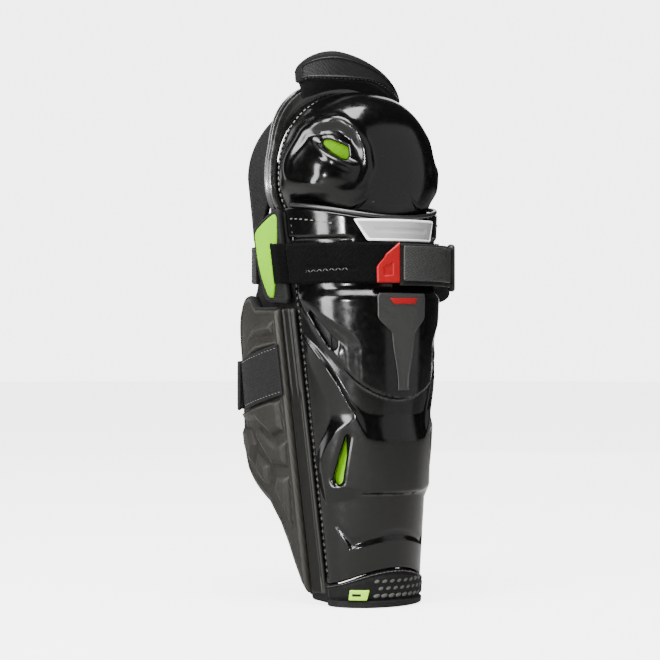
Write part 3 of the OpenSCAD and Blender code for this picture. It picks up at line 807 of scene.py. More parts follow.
@dataclass
class FinishShop:
    """Makes each finish's material once and hands it out."""

    made: dict[str, bpy.types.Material] = field(default_factory=dict)

    def height(self, tree: bpy.types.NodeTree, finish: Finish, cloth: bpy.types.NodeSocket) -> bpy.types.NodeSocket:
        """Adds the small pattern's layers.

        Args:
            tree: The material's tree.
            finish: The finish.
            cloth: Coordinates in millimetres along the surface.

        Returns:
            The pattern's height, from 0 to 1.
        """
        total: bpy.types.NodeSocket | None = None
        for texture, turn, stretch in finish.pattern.value:
            # A wave repeats every 2 pi / 20 units, a noise blotch is about one unit wide.
            unit = (math.pi / 10 if texture == "wave" else 1.0) / finish.pitch
            place = add_node(
                tree, "ShaderNodeMapping",
                {"Vector": cloth, "Rotation": (0, 0, math.radians(turn)), "Scale": (unit, unit, unit)},
            )
            spread = add_node(
                tree, "ShaderNodeMapping", {"Vector": place.outputs[0], "Scale": (stretch[0], stretch[1], 1.0)}
            )
            if texture == "wave":
                layer = add_node(
                    tree, "ShaderNodeTexWave",
                    {"Vector": spread.outputs[0], "Scale": 1.0, "Distortion": 0.35, "Detail": 1.0,
                     "Detail Scale": 0.6},
                    wave_type="BANDS", bands_direction="X",
                ).outputs["Fac"]
            elif texture == "cells":
                cells = add_node(
                    tree, "ShaderNodeTexVoronoi", {"Vector": spread.outputs[0], "Scale": 1.0, "Randomness": 0.15}
                )
                layer = add_node(
                    tree, "ShaderNodeMapRange",
                    {"Value": cells.outputs["Distance"], "From Min": 0.15, "From Max": 0.5, "To Min": 1.0,
                     "To Max": 0.0},
                ).outputs[0]
            else:
                layer = add_node(
                    tree, "ShaderNodeTexNoise", {"Vector": spread.outputs[0], "Scale": 1.0, "Detail": 3.0}
                ).outputs["Fac"]
            if total is None:
                total = layer
            else:
                total = add_node(tree, "ShaderNodeMath", {0: total, 1: layer}, operation="MULTIPLY").outputs[0]
        assert total is not None
        return total

    def get(self, finish: Finish) -> bpy.types.Material:
        """The finish's material, made the first time that it's asked for.

        Args:
            finish: The finish.

        Returns:
            The material.
        """
        if finish.name in self.made:
            return self.made[finish.name]
        material = bpy.data.materials.new(finish.name)
        material.use_nodes = True
        tree = material.node_tree
        shader = next(n for n in tree.nodes if n.type == "BSDF_PRINCIPLED")
        places = add_node(tree, "ShaderNodeTexCoord", {})
        moulded = finish.pattern in (Pattern.MOULDED, Pattern.BRUSHED)
        solid = add_node(
            tree, "ShaderNodeMapping", {"Vector": places.outputs["Object"], "Scale": (1000.0, 1000.0, 1000.0)}
        )
        height = self.height(tree, finish, solid.outputs[0] if moulded else places.outputs["UV"])
        # Broad patches, about 25 mm across, shift the colour at random; the small pattern adds painted shade in its
        # hollows and a faint painted highlight on its tops.
        patches = add_node(
            tree, "ShaderNodeTexNoise", {"Vector": places.outputs["Object"], "Scale": 40.0, "Detail": 2.0}
        )
        toned = add_node(
            tree, "ShaderNodeMix",
            {"Factor": patches.outputs["Fac"], 6: linear(finish.colour), 7: linear(finish.shade)},
            data_type="RGBA",
        ).outputs[2]
        # Painted shade: the colour is darkened in the pattern's hollows and lifted a little on its tops, a faint
        # painted highlight.
        if finish.contrast:
            painted_hollow_shade = add_node(
                tree, "ShaderNodeMapRange",
                {"Value": height, "From Min": 0.1, "From Max": 0.6, "To Min": 1.0 - finish.contrast, "To Max": 1.15},
            )
            toned = add_node(
                tree, "ShaderNodeVectorMath", {0: toned, "Scale": painted_hollow_shade.outputs[0]}, operation="SCALE"
            ).outputs[0]
        if finish.worn:
            edges = add_node(tree, "ShaderNodeNewGeometry", {})
            rubbed = add_node(
                tree, "ShaderNodeMapRange",
                {"Value": edges.outputs["Pointiness"], "From Min": 0.515, "From Max": 0.56, "To Min": 0.0,
                 "To Max": finish.worn},
            )
            toned = add_node(
                tree, "ShaderNodeMix",
                {"Factor": rubbed.outputs[0], 6: toned, 7: linear("#5A5B57")}, data_type="RGBA",
            ).outputs[2]
        tree.links.new(toned, shader.inputs["Base Color"])
        # Handling marks, about 4 mm long, take the gloss down in places.
        marks = add_node(
            tree, "ShaderNodeTexNoise", {"Vector": places.outputs["Object"], "Scale": 240.0, "Detail": 4.0}
        )
        gloss = add_node(
            tree, "ShaderNodeMapRange",
            {"Value": marks.outputs["Fac"], "From Min": 0.35, "From Max": 0.75, "To Min": finish.roughness,
             "To Max": finish.roughness + finish.rough_swing},
        )
        tree.links.new(gloss.outputs[0], shader.inputs["Roughness"])
        relief = add_node(
            tree, "ShaderNodeBump", {"Height": height, "Strength": 1.0, "Distance": finish.depth * MM}
        )
        tree.links.new(relief.outputs[0], shader.inputs["Normal"])
        shader.inputs["Coat Weight"].default_value = finish.coat
        shader.inputs["Coat Roughness"].default_value = 0.08
        shader.inputs["Sheen Weight"].default_value = finish.sheen
        shader.inputs["Sheen Roughness"].default_value = 0.45
        shader.inputs["Metallic"].default_value = finish.metallic
        shader.inputs["IOR"].default_value = finish.ior
        shader.inputs["Specular IOR Level"].default_value = finish.specular
        if finish.glow:
            shader.inputs["Emission Color"].default_value = linear(finish.colour)
            seen = add_node(tree, "ShaderNodeLightPath", {})
            glow = add_node(
                tree, "ShaderNodeMapRange",
                {"Value": seen.outputs["Is Camera Ray"], "From Min": 0.0, "From Max": 1.0,
                 "To Min": finish.glow * GLOW_ON_PIECES, "To Max": finish.glow},
            )
            tree.links.new(glow.outputs[0], shader.inputs["Emission Strength"])
        self.made[finish.name] = material
        return material


class Slot(Enum):
    """The record's material slots."""

    HARD_SHELL = "hard_shell"
    TRIM = "trim_plastic"
    NAMEPLATE = "nameplate"
    LIME = "lime_textile"
    BLACK_FOAM = "black_foam"
    GREY_FOAM = "grey_foam"
    WEBBING = "webbing"
    HOOK_LOOP = "hook_loop"
    RUBBER = "black_rubber"
    RED = "red_rubber"


@dataclass
class Assembly:
    """A sub-assembly: it dresses its pieces and ties each to the frame."""

    shop: FinishShop

    def fit(
        self, piece: bpy.types.Object, finish: Finish, slot: Slot, body: str, nodes: Sequence[str] = (),
        fill: float | None = None,
    ) -> bpy.types.Object:
        """Dresses a finished piece and ties it to the frame.

        Args:
            piece: The piece.
            finish: Its finish.
            slot: Its slot in the record; not used.
            body: The body that it rides on.
            nodes: The nodes that it stands for.
            fill: How full it is, if it's a pad; not used.

        Returns:
            The piece.
        """
        piece.data.materials.clear()
        piece.data.materials.append(self.shop.get(finish))
        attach(piece, body)
        if nodes:
            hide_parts(*nodes)
        log.info("%s on %s: %d faces, %s", piece.name, body, len(piece.data.polygons), finish.name)
        return piece

    def bridge(self, cloth: bpy.types.Object, first: str, second: str, start: Point, end: Point) -> None:
        """Dresses black cloth over a joint on the first body, then sets it loose, so that it rides on no body.

        Args:
            cloth: The cloth.
            first: The body that it is dressed on before it is set loose.
            second: The body on the joint's other side; not used.
            start: Place in metres; not used.
            end: Place in metres; not used.
        """
        self.fit(cloth, KNIT, Slot.BLACK_FOAM, first)
        cloth.parent = None
        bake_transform(cloth)


# ------------------------ the shin shell


@dataclass
class ShinShell(Assembly):
    """The moulded shin shell with its raised shield, column, slots and stitched edges.

    Args:
        wall: Wall thickness.
        shield_rise: Height of the upper shield.
        body_rise: Height of the lower body.
    """

    wall: float = 3.0
    shield_rise: float = 2.7
    body_rise: float = 3.2
    upper_slot: tuple[tuple[float, float], tuple[float, float]] = ((61.5, 195.5), (46.5, 174.5))
    lower_slot: tuple[tuple[float, float], tuple[float, float]] = ((39.5, 113.5), (49.0, 86.0))

    @staticmethod
    def arc(phi: Array) -> Array:
        """Millimetres round the shell from its middle, the same on both sides."""
        return np.abs(phi) * 0.85

    def slots(self, phi: Array, z: Array) -> Array:
        """Distance from the edges of the four slots."""
        a = self.arc(phi)
        return np.minimum(
            slot_distance(a, z, *self.upper_slot, (1.2, 3.4)), slot_distance(a, z, *self.lower_slot, (1.5, 4.0))
        )

    def relief(self, phi: Array, z: Array) -> Array:
        """How far the shell stands out from the form."""
        s = np.abs(phi)
        # Upper shield: its lower edge sweeps up to both sides, with a facet along it that is widest at the side.
        edge = 137.6 + 5.4 * (s / 26.0) ** 2.1
        lean = 5.4 * 2.1 * (s / 26.0) ** 1.1 / 26.0 / 0.85
        inside = (z - edge) / np.sqrt(1 + lean**2)
        top = 1 - ease(z, 203, 213)
        facet = lerp(1.4, 4.6, ease(s, 36, 54))
        shield = ramp(inside, 0, facet)
        side_of_column = 36.0 + 44.0 * ease(z, 172, 209)
        column = 1 - ease(s, side_of_column - 4.5, side_of_column + 4.5)
        rise = self.shield_rise * shield * top + (4.0 - self.shield_rise) * column * shield * top
        # A shallow flow line runs beside the column and out to the upper corner.
        flow = side_of_column + 9.0 + 6.0 * ease(z, 165, 205)
        rise -= 0.45 * (1 - ease(np.abs(s - flow), 0, 5)) * shield * top
        # Lower body: a broad facet on its upper outer corner, a bevel below it and a crisp lower edge.
        left = smooth_curve(
            z, [(58, 70), (67.5, 75), (75, 80.5), (84, 83), (98, 83), (107, 77), (116, 68), (126, 62), (147, 71),
                (163, 80), (183, 87), (200, 92)]
        )
        inner = smooth_curve(z, [(112, 30), (122, 33), (134.6, 41), (153.6, 54), (170, 68), (183, 86)])
        width = lerp(10.6, np.maximum(left - inner, 4.0), ease(z, 117, 130))
        valley = smooth_curve(s, [(0, 127), (20, 127), (32, 129), (41, 134.6), (54, 153.6), (68, 170), (87, 184)])
        floor = smooth_curve(s, [(0, 75), (35, 74.5), (52, 72), (75, 67.5), (90, 62)])
        body = np.minimum(
            np.minimum(ramp(left - s, 0, width), ramp(valley - z, 0, lerp(15.0, 3.0, ease(s, 28, 42)))),
            ramp(z - floor, 0, lerp(2.4, 9.0, ease(s, 28, 58))),
        )
        ridge = (1 - ease(s, 16, 38)) * ramp(z - floor, 0, 1.4) * (1 - ease(z, 108, 128))
        rise += self.body_rise * body + 0.9 * ridge
        # Sunk chevron above the foot, with a tail at both ends.
        high, low = 52.5 - 8.2 * (s / 50) ** 1.5, 46.0 - 6.5 * (s / 48) ** 1.6
        band = ramp(np.minimum(high - z, z - low), -0.5, 2.2) * (1 - ease(s, 48, 53))
        tail = 1 - ramp(slot_distance(self.arc(phi), z, (41.0, 42.3), (54.5, 54.5), (1.9, 0.3)), -1.6, 2.8)
        rise -= 1.2 * np.maximum(band, tail)
        # The slots lie in a dished surround, and the upper one has a deeper dish on its inner side.
        near = slot_distance(self.arc(phi), z, *self.upper_slot, (1.2, 3.4))
        dish = slot_distance(self.arc(phi), z, (58.5, 192.0), (43.0, 174.0), (0.4, 2.6))
        rise -= 0.3 * (1 - ease(near, 0.4, 4.5)) + 0.25 * (1 - ease(dish, -1.0, 5.0))
        near = slot_distance(self.arc(phi), z, *self.lower_slot, (1.5, 4.0))
        rise -= 0.6 * (1 - ease(near, 0.4, 4.0))
        # Lip and groove under the top edge, and a sunk flange for the side seams.
        beside = ease(s, 33, 40)
        rise += 0.55 * ramp(z, 244.4, 1.2) * beside - 0.9 * bump(z, 243.0, 2.6) * beside
        rise -= 0.9 * ramp(s, 83.5, 1.4) * (1 - ease(z, 228, 240)) * ease(z, 16, 24)
        return rise

    def height(self, u: Array, v: Array) -> tuple[Array, Array]:
        """The angle and height of a point in the shell's own square."""
        phi = lerp(-90.0, 90.0, u)
        return phi, lerp(FORM.shell_foot(phi), FORM.shell_rim(phi), v)

    def build_shell(self) -> None:
        """The shell itself, with its slots cut through."""
        piece = Sheet(
            "shin_shell_moulded",
            lambda u, v, off: FORM.on_shin(*self.height(u, v), off),
            (153.0, 239.0), (196, 236), -self.wall, 0.0, 1.3,
            emboss=lambda u, v: self.relief(*self.height(u, v)),
            lining=1.0,
            holes=lambda u, v: self.slots(*self.height(u, v)),
        ).build()
        self.fit(piece, SHELL, Slot.HARD_SHELL, "shin", ["shin_shell"])

    def build_trim(self) -> None:
        """Piping, nameplate, crest insert, red bar and the lime cloth behind the lower slots."""
        piping = Bead(
            "top_edge_piping_vinyl",
            lambda t, across, up: FORM.on_shin(
                lerp(-84, 84, t), FORM.shell_rim(lerp(-84, 84, t)) + 1.7 + up, -1.3 + across
            ),
            165.0, (1.75, 1.6), (150, 12),
        ).build()
        self.fit(piping, PIPING, Slot.WEBBING, "shin", ["top_edge_piping"])

        def plate(u: Array, v: Array, off: Array, rim: float = 0.0) -> Array:
            left = -34 + 9 * (1 - v) + rim
            right = 34 - 4 * (1 - v) - rim * 0.7
            return FORM.on_shin(lerp(left, right, u), lerp(242 + rim * 0.75, 256.5 - rim * 0.75, v), off)

        rim = Sheet(
            "nameplate_rim", plate, (58, 12.6), (96, 30), 0.5, 2.0, 0.8,
            emboss=lambda u, v: -0.7 * ramp(np.minimum(np.minimum(u, 1 - u) * 58, np.minimum(v, 1 - v) * 12.6), 1.2,
                                            0.5),
            corner=1.2,
        ).build()
        self.fit(rim, PLATE_RIM, Slot.NAMEPLATE, "shin", ["brow_plate"])
        # A blank field with a plain thin groove.
        face = Sheet(
            "nameplate_field", lambda u, v, off: plate(u, v, off, 1.9), (54, 9.8), (160, 40), 1.1, 1.75, 0.4,
            emboss=lambda u, v: -0.3 * (1 - ease(slot_distance(u * 54, v * 9.8, (8, 4.9), (46, 4.9), (0.2, 0.2)),
                                                 0.2, 1.6)),
        ).build()
        self.fit(face, PLATE, Slot.NAMEPLATE, "shin")

        def spread(v: Array) -> Array:
            z = lerp(144.0, 208.0, v)
            return 5.0 + 4.5 * ease(z, 148, 180) + 10.5 * ease(z, 180, 193) - 1.3 * ramp(z, 205.5, 2.5)

        def crest_border(u: Array, v: Array) -> Array:
            edge = np.minimum(np.minimum(u, 1 - u) * spread(v) * 1.7, np.minimum(v, 1 - v) * 66)
            return -0.35 * ramp(edge, 1.0, 0.5)

        crest = Sheet(
            "crest_insert",
            lambda u, v, off: FORM.on_shin(lerp(-spread(v), spread(v), u), lerp(144, 208, v), off),
            (30, 64), (48, 90), 3.4, 4.9, 0.6, emboss=crest_border,
        ).build()
        self.fit(crest, CREST, Slot.TRIM, "shin", ["crest_plate"])
        bar = Sheet(
            "crest_bar_red",
            lambda u, v, off: FORM.on_shin(lerp(-8.2 - 3.0 * v, 9.0 + 2.6 * v, u), lerp(200.6, 204.6, v), off),
            (18, 4), (40, 10), 4.3, 5.3, 0.45, corner=0.5,
        ).build()
        self.fit(bar, RED, Slot.RED, "shin", ["crest_bar"])
        for side in Side:
            cloth = Sheet(
                f"slot_cloth_{side.name.lower()}",
                lambda u, v, off, side=side: FORM.on_shin(-side.value * lerp(67, 50, u), lerp(80, 119, v), off),
                (15, 39), (20, 40), -4.8, -3.7, 0.5,
            ).build()
            self.fit(cloth, LIME, Slot.LIME, "shin")

    def build_stitches(self) -> None:
        """Rows of stitches down both side seams and under the top edge."""
        z = np.arange(24.0, 232.0, 4.3)
        rows = []
        for side in Side:
            wander = 0.35 * np.sin(z * 1.7)
            phi = -side.value * (86.6 + wander)
            p, along, up, normal = frames_on(lambda a, b: FORM.on_shin(a, b, -0.55), phi, z)
            rows += [(p, up + 0.35 * along, normal), (p, up * 0.5 - along, normal)]
        seam = sew_rows("side_seam_stitches", rows, (1.75, 0.5, 0.5))
        self.fit(seam, THREAD, Slot.TRIM, "shin")
        phi = np.concatenate([np.arange(-82.0, -46.0, 4.6), np.arange(46.0, 83.0, 4.6)])
        rim = FORM.shell_rim(phi) - 7.5
        p, along, up, normal = frames_on(lambda a, b: FORM.on_shin(a, b, 0.75), phi, rim)
        top = sew("top_seam_stitches", p, along, normal, (1.5, 0.45, 0.4))
        self.fit(top, THREAD_PAINTED_HIGHLIGHT, Slot.TRIM, "shin")
        z = np.arange(222.0, 258.0, 4.4)
        rows = []
        for side in Side:
            p, along, up, normal = frames_on(
                lambda a, b: FORM.on_shin(a, b, 0.2), -side.value * np.full_like(z, 83.0), z
            )
            rows.append((p, up, normal))
        corner = sew_rows("corner_seam_stitches", rows, (1.5, 0.45, 0.45))
        self.fit(corner, THREAD_PAINTED_HIGHLIGHT, Slot.TRIM, "shin")

    def build(self) -> None:
        """Builds all of the shell's pieces."""
        self.build_shell()
        self.build_trim()
        self.build_stitches()


@dataclass
class ShinPadding(Assembly):
    """Liner, tibia pads, hook tapes, foot hem and edge bands behind and round the shell."""

    liner_top: float = 236.0

    def build_liner(self) -> None:
        """The padded liner with its sewn channels, its pads and its hook tapes."""

        def channels(u: Array, v: Array) -> Array:
            phi, z = lerp(-87, 87, u), v * 214
            seams = np.minimum(np.abs(np.abs(phi) - 38.0), np.abs(np.abs(phi) - 8.0)) * 0.7
            level = np.abs((z + 18) % 44 - 22)
            return np.minimum(ramp(np.minimum(seams, level), 0, 5.0) ** 0.5, 1.0)

        def pad(u: Array, v: Array, off: Array) -> Array:
            phi = lerp(-87.0, 87.0, u)
            inner = ramp(-8.5 - off, 0, 3.5)
            sewn = 1.9 * (1 - channels(u, v)) * inner
            return FORM.on_shin(phi, lerp(FORM.shell_foot(phi) + 0.5, self.liner_top, v), off + sewn)

        liner = Sheet("liner_padded", pad, (120, 214), (110, 140), -12.0, -5.0, 3.2).build()
        self.fit(liner, LINING, Slot.BLACK_FOAM, "shin", ["shin_liner"], fill=0.7)
        for side in Side:
            name = side.name.lower()
            tibia = Sheet(
                f"tibia_pad_{name}",
                lambda u, v, off, side=side: FORM.on_shin(-side.value * lerp(14.5, 33.5, u), lerp(41, 217, v), off),
                (12, 176), (20, 90), -16.8, -12.2, 2.6, corner=5.0,
            ).build()
            self.fit(tibia, LIME, Slot.LIME, "shin", ["tibia_pads"], fill=0.8)
            tape = Sheet(
                f"liner_hook_tape_{name}",
                lambda u, v, off, side=side: FORM.on_shin(-side.value * lerp(58.5, 73.5, u), lerp(50, 205, v), off),
                (12, 155), (14, 60), -4.9, -3.9, 0.4,
            ).build()
            self.fit(tape, HOOK, Slot.HOOK_LOOP, "shin", ["liner_hook_tapes"])

    def build_hem(self) -> None:
        """The foot hem: padded mesh with its grey dots, the binding, its stitches and the size tab."""

        def mesh(u: Array, v: Array, off: Array) -> Array:
            phi = lerp(-89.0, 89.0, u)
            return FORM.on_shin(phi, lerp(4.4, FORM.shell_foot(phi) - 0.3, v), off)

        hem = Sheet("foot_hem_padded", mesh, (110, 15), (150, 26), -9.5, 1.7, 4.2).build()
        self.fit(hem, KNIT, Slot.BLACK_FOAM, "shin", ["hem"], fill=0.6)
        binding = Bead(
            "foot_hem_binding",
            lambda t, across, up: FORM.on_shin(
                lerp(-89, 89, t), np.maximum(2.7 + up, 0.0), -3.6 + np.clip(across * 1.25, -5.4, 5.4)
            ),
            112.0, (5.6, 2.9), (150, 22),
        ).build()
        self.fit(binding, WEBBING, Slot.WEBBING, "shin", ["hem_binding"])
        rows = []
        for row, start in enumerate((0.0, 4.3, 0.0)):
            phi = np.arange(-22.0 + start, 80.0, 8.6)
            z = np.full_like(phi, 8.6 + 4.7 * row)
            keep = z < FORM.shell_foot(phi) - 2.6
            p, along, up, normal = frames_on(lambda a, b: FORM.on_shin(a, b, 1.35), phi[keep], z[keep])
            rows.append((p, along + 0.35 * up, normal))
        dots = sew_rows("foot_hem_dots", rows, (2.5, 1.5, 0.5), 12)
        self.fit(dots, GREY_PRINT, Slot.BLACK_FOAM, "shin")
        phi = np.arange(-84.0, 85.0, 4.4)
        p, along, up, normal = frames_on(lambda a, b: FORM.on_shin(a, b, 1.0), phi, FORM.shell_foot(phi) - 1.6)
        row = sew("foot_hem_stitches", p, along + 0.25 * up, normal, (1.7, 0.45, 0.6))
        self.fit(row, THREAD, Slot.TRIM, "shin")
        tab = Sheet(
            "size_tab_lime",
            lambda u, v, off: FORM.on_shin(lerp(-54 + 2 * v, -33 + 3 * v, u), lerp(5.6, 12.4, v), off),
            (13, 6.8), (26, 14), 1.2, 2.3, 0.35, corner=0.6,
        ).build()
        self.fit(tab, LIME_PRINT, Slot.LIME, "shin", ["size_tab"])
        # Plain bars where a printed size would be.
        bars = Sheet(
            "size_tab_bars",
            lambda u, v, off: FORM.on_shin(lerp(-49.5, -39.5, u), lerp(8.2, 9.9, v), off),
            (6.2, 1.7), (14, 8), 2.0, 2.55, 0.2, corner=0.4,
        ).build()
        self.fit(bars, KNIT, Slot.BLACK_FOAM, "shin")

    def build_edge_bands(self) -> None:
        """The rubber band down each side, with two raised lines on its upper part."""

        def lines(u: Array, v: Array) -> Array:
            s, z = u * 11.8, 8 + v * 190
            upper = ease(z, 132, 150)
            beads = bump(s, 2.2, 1.0) + bump(s, 4.6, 1.0) + bump(s, 9.6, 1.0)
            return 0.55 * beads * upper - 0.35 * bump(s, 2.2, 0.9) * (1 - upper)

        for side in Side:
            band = Sheet(
                f"edge_band_{side.name.lower()}",
                lambda u, v, off, side=side: FORM.on_side(lerp(0.6, 12.4, u), lerp(8, 198, v), off, side),
                (11.8, 190), (44, 130), -2.0, 1.2, 1.2, emboss=lines, corner=2.0,
            ).build()
            self.fit(band, SATIN_RUBBER, Slot.RUBBER, "shin", [f"{side.name.lower()}_edge_band"])

    def build_seam_tapes(self) -> None:
        """The knit that closes each side: behind the shell's edge, under the gusset and behind the rim."""
        for side in Side:
            name = side.name.lower()
            foot = Sheet(
                f"hem_side_cloth_{name}",
                lambda u, v, off, side=side: FORM.on_side(
                    lerp(-3.0, 13.5, u), lerp(1.5 + 2 * u, 15 + 4 * u, v), off, side
                ),
                (17, 14), (24, 20), -3.4, 0.4, 1.2, corner=2.0,
            ).build()
            self.fit(foot, KNIT, Slot.BLACK_FOAM, "shin")
            lower = Sheet(
                f"side_seam_tape_{name}",
                lambda u, v, off, side=side: FORM.on_side(lerp(-7.0, 8.0, u), lerp(10, 199, v), off, side),
                (15, 189), (20, 90), -4.4, -3.2, 0.6,
            ).build()
            self.fit(lower, KNIT, Slot.BLACK_FOAM, "shin")
            upper = Sheet(
                f"gusset_seam_tape_{name}",
                lambda u, v, off, side=side: FORM.on_side(
                    lerp(-7.0, 47.0, u), lerp(180, 262 - 18 * ease(u, 0.3, 0.68) - 36 * ease(u, 0.68, 1.0), v),
                    off + 3.0 * ease(lerp(-7.0, 47.0, u), -1.0, 3.0) * ease(v, 0.25, 0.5), side, 4.0, 0.0,
                ),
                (54, 80), (60, 60), -4.6, -3.4, 0.6,
            ).build()
            self.fit(upper, KNIT, Slot.BLACK_FOAM, "shin")

    def build(self) -> None:
        """Builds all of the padding."""
        self.build_seam_tapes()
        self.build_liner()
        self.build_hem()
        self.build_edge_bands()


# ------------------------ the knee


@dataclass
class KneeCap(Assembly):
    """The knee cap with its two eye-shaped cheeks, its ridged rim and its lining.

    The cheek's outlines are drawn as seen square on from 33 degrees beside the front, in millimetres from the
    knee's axis.
    """

    wall: float = 3.0
    view_turn: float = 33.0
    medial_shift: float = 21.0
    eye: tuple[tuple[float, float], ...] = (
        (-21.3, 21.8), (-17.5, 23.4), (-8.5, 24.4), (-2.5, 20.0), (1.0, 13.0), (2.2, 5.0), (0.5, 0.0), (-4.0, -1.0),
        (-30.4, 6.1),
    )
    eye_rounding: float = 8.6
    vent: tuple[tuple[float, float], ...] = (
        (-16.5, 22.8), (-12.5, 22.4), (-1.2, 17.6), (-0.8, 12.4), (-3.0, 12.0), (-10.2, 16.8),
    )

    def seen(self, u: Array, v: Array, shrink: float = 1.0) -> tuple[Array, Array]:
        """A point of the cap in the plane that its cheeks are drawn in, the same on both sides."""
        points = FORM.on_cap(*FORM.cap_disc(u, v, shrink), 0.0)
        turn = math.radians(self.view_turn)
        across = -np.abs(points[:, 0]) * math.cos(turn) - (points[:, 1] - FORM.knee_axis_y) * math.sin(turn)
        across = across + np.where(points[:, 0] > 0, self.medial_shift, 0.0)
        return across, points[:, 2] - FORM.knee_axis_z

    def openings(self, u: Array, v: Array) -> Array:
        """Distance from the edges of the two vents."""
        return outline_distance(*self.seen(u, v), self.vent, 1.5)

    def relief(self, u: Array, v: Array) -> Array:
        """How far the cap stands out from its form."""
        h, z = self.seen(u, v)
        beta, psi = FORM.cap_disc(u, v)
        eye = outline_distance(h, z, self.eye, self.eye_rounding)
        inside = ease(-eye, -2.0, 3.5)
        # A rounded ridge runs round the eye; it is highest over it and lower below.
        over = 0.4 + 0.6 * ease(z, -8, 8)
        ridge = 2.1 * (1 - ease(np.abs(eye - 2.6), 0, 6.0)) * over
        sunk = -1.3 * inside
        # The vent's hollow ends below on a crescent lip.
        lip = smooth_curve(h, [(-32, 32), (-26.6, 25.5), (-20, 18.0), (-13, 12.4), (-6, 8.8), (2, 6.0), (10, 4.4)])
        hollow = ease(z - lip, -1.0, 4.0) * inside * ease(h, -27, -17) * (1 - ease(h, 0, 11))
        crescent = 1.7 * bump(z - lip, -2.0, 5.0) * inside * ease(h, -29, -16) * (1 - ease(h, -2, 9))
        bulge = 2.4 * np.exp(-(((h + 8) / 19) ** 2) - ((z + 1.5) / 10.5) ** 2)
        detail = (ridge + sunk - 2.3 * hollow + 0.9 * crescent + bulge * inside) * (1 - ease(psi, 68, 79.5))
        # A ledge for the rim's seam runs round the cap's back edge, and the lip below is turned in.
        ledge = ramp(psi, 80.3, 1.6) * ease(beta % 360, -1, 1)
        inner_side = ease(FORM.on_cap(beta, psi, 0.0)[..., 0], 2, 16)
        rise = FORM.cheek(beta, psi) * (1 - 0.45 * inner_side) + detail * (1 - 0.8 * inner_side)
        return rise - 1.5 * ledge

    def build_cap(self) -> None:
        """The cap, with its two vents cut through."""
        cap = Sheet(
            "knee_cap_moulded",
            lambda u, v, off: FORM.on_cap(*FORM.cap_disc(u, v), off + self.relief(u, v)),
            (150.0, 140.0), (232, 220), -self.wall, 0.0, 1.2, holes=self.openings,
        ).build()
        bpy.ops.object.select_all(action="DESELECT")
        bpy.context.view_layer.objects.active = cap
        cap.select_set(True)
        bpy.ops.object.modifier_add(type="SMOOTH")
        cap.modifiers[-1].factor, cap.modifiers[-1].iterations = 0.5, 10
        bpy.ops.object.modifier_apply(modifier=cap.modifiers[-1].name)
        self.fit(cap, SHELL, Slot.HARD_SHELL, "knee", ["knee_shell"])

    def build_rim(self) -> None:
        """The ridged rim and its seam."""

        def ridges(u: Array, v: Array) -> Array:
            w = v * 9.5
            return 1.9 * bump(w, 2.1, 1.9) + 1.9 * bump(w, 5.2, 1.7) + 1.3 * bump(w, 7.9, 1.2)

        rim = Sheet(
            "knee_rim_ridged",
            lambda u, v, off: FORM.on_cap(
                lerp(-27.0, 207.0, u), lerp(99.0, 89.0, v),
                off + 1.25 * (off + 2.6) * ease(np.sin(np.radians(lerp(-27.0, 207.0, u))), 0.25, 0.85),
            ),
            (235, 9.5), (260, 36), -2.6, 1.2, 1.0, emboss=ridges,
        ).build()
        self.fit(rim, RIM_RUBBER, Slot.RUBBER, "knee", ["knee_rim"])
        beta = np.arange(-20.0, 201.0, 3.7)
        p, along, _, normal = frames_on(lambda a, b: FORM.on_cap(a, b, -1.2), beta, np.full_like(beta, 84.5))
        centre = np.array([0.0, 30.0, FORM.knee_axis_z])
        normal = np.where(((p - centre) * normal).sum(-1, keepdims=True) < 0, -normal, normal)
        holes = sew("knee_rim_seam", p, along, normal, (1.45, 0.6, 0.5))
        self.fit(holes, THREAD_PAINTED_HIGHLIGHT, Slot.TRIM, "knee")

    def build_lining(self) -> None:
        """The lime lining behind the cap and the ring-shaped pad on it."""
        lining = Sheet(
            "knee_lining_lime",
            lambda u, v, off: FORM.on_cap(*FORM.cap_disc(u, v, 0.96), off + FORM.cheek(*FORM.cap_disc(u, v, 0.96))),
            (140, 130), (80, 80), -10.8, -5.3, 2.6,
        ).build()
        # The lining's lime is painted darker, as painted shade, since it lies behind the cap.
        self.fit(lining, LIME_LINING_SHADED, Slot.LIME, "knee", ["knee_liner"], fill=0.7)

        pad = Sheet(
            "knee_ring_pad",
            lambda u, v, off: FORM.on_cap(360.0 * u, lerp(40.0, 18.0, v), off),
            (150, 20), (96, 24), -15.4, -12.6, 2.4, seam=True,
        ).build()
        self.fit(pad, KNIT, Slot.BLACK_FOAM, "knee", ["knee_donut_pad"], fill=0.8)

    def build(self) -> None:
        """Builds the knee's pieces."""
        self.build_cap()
        self.build_rim()
        self.build_lining()


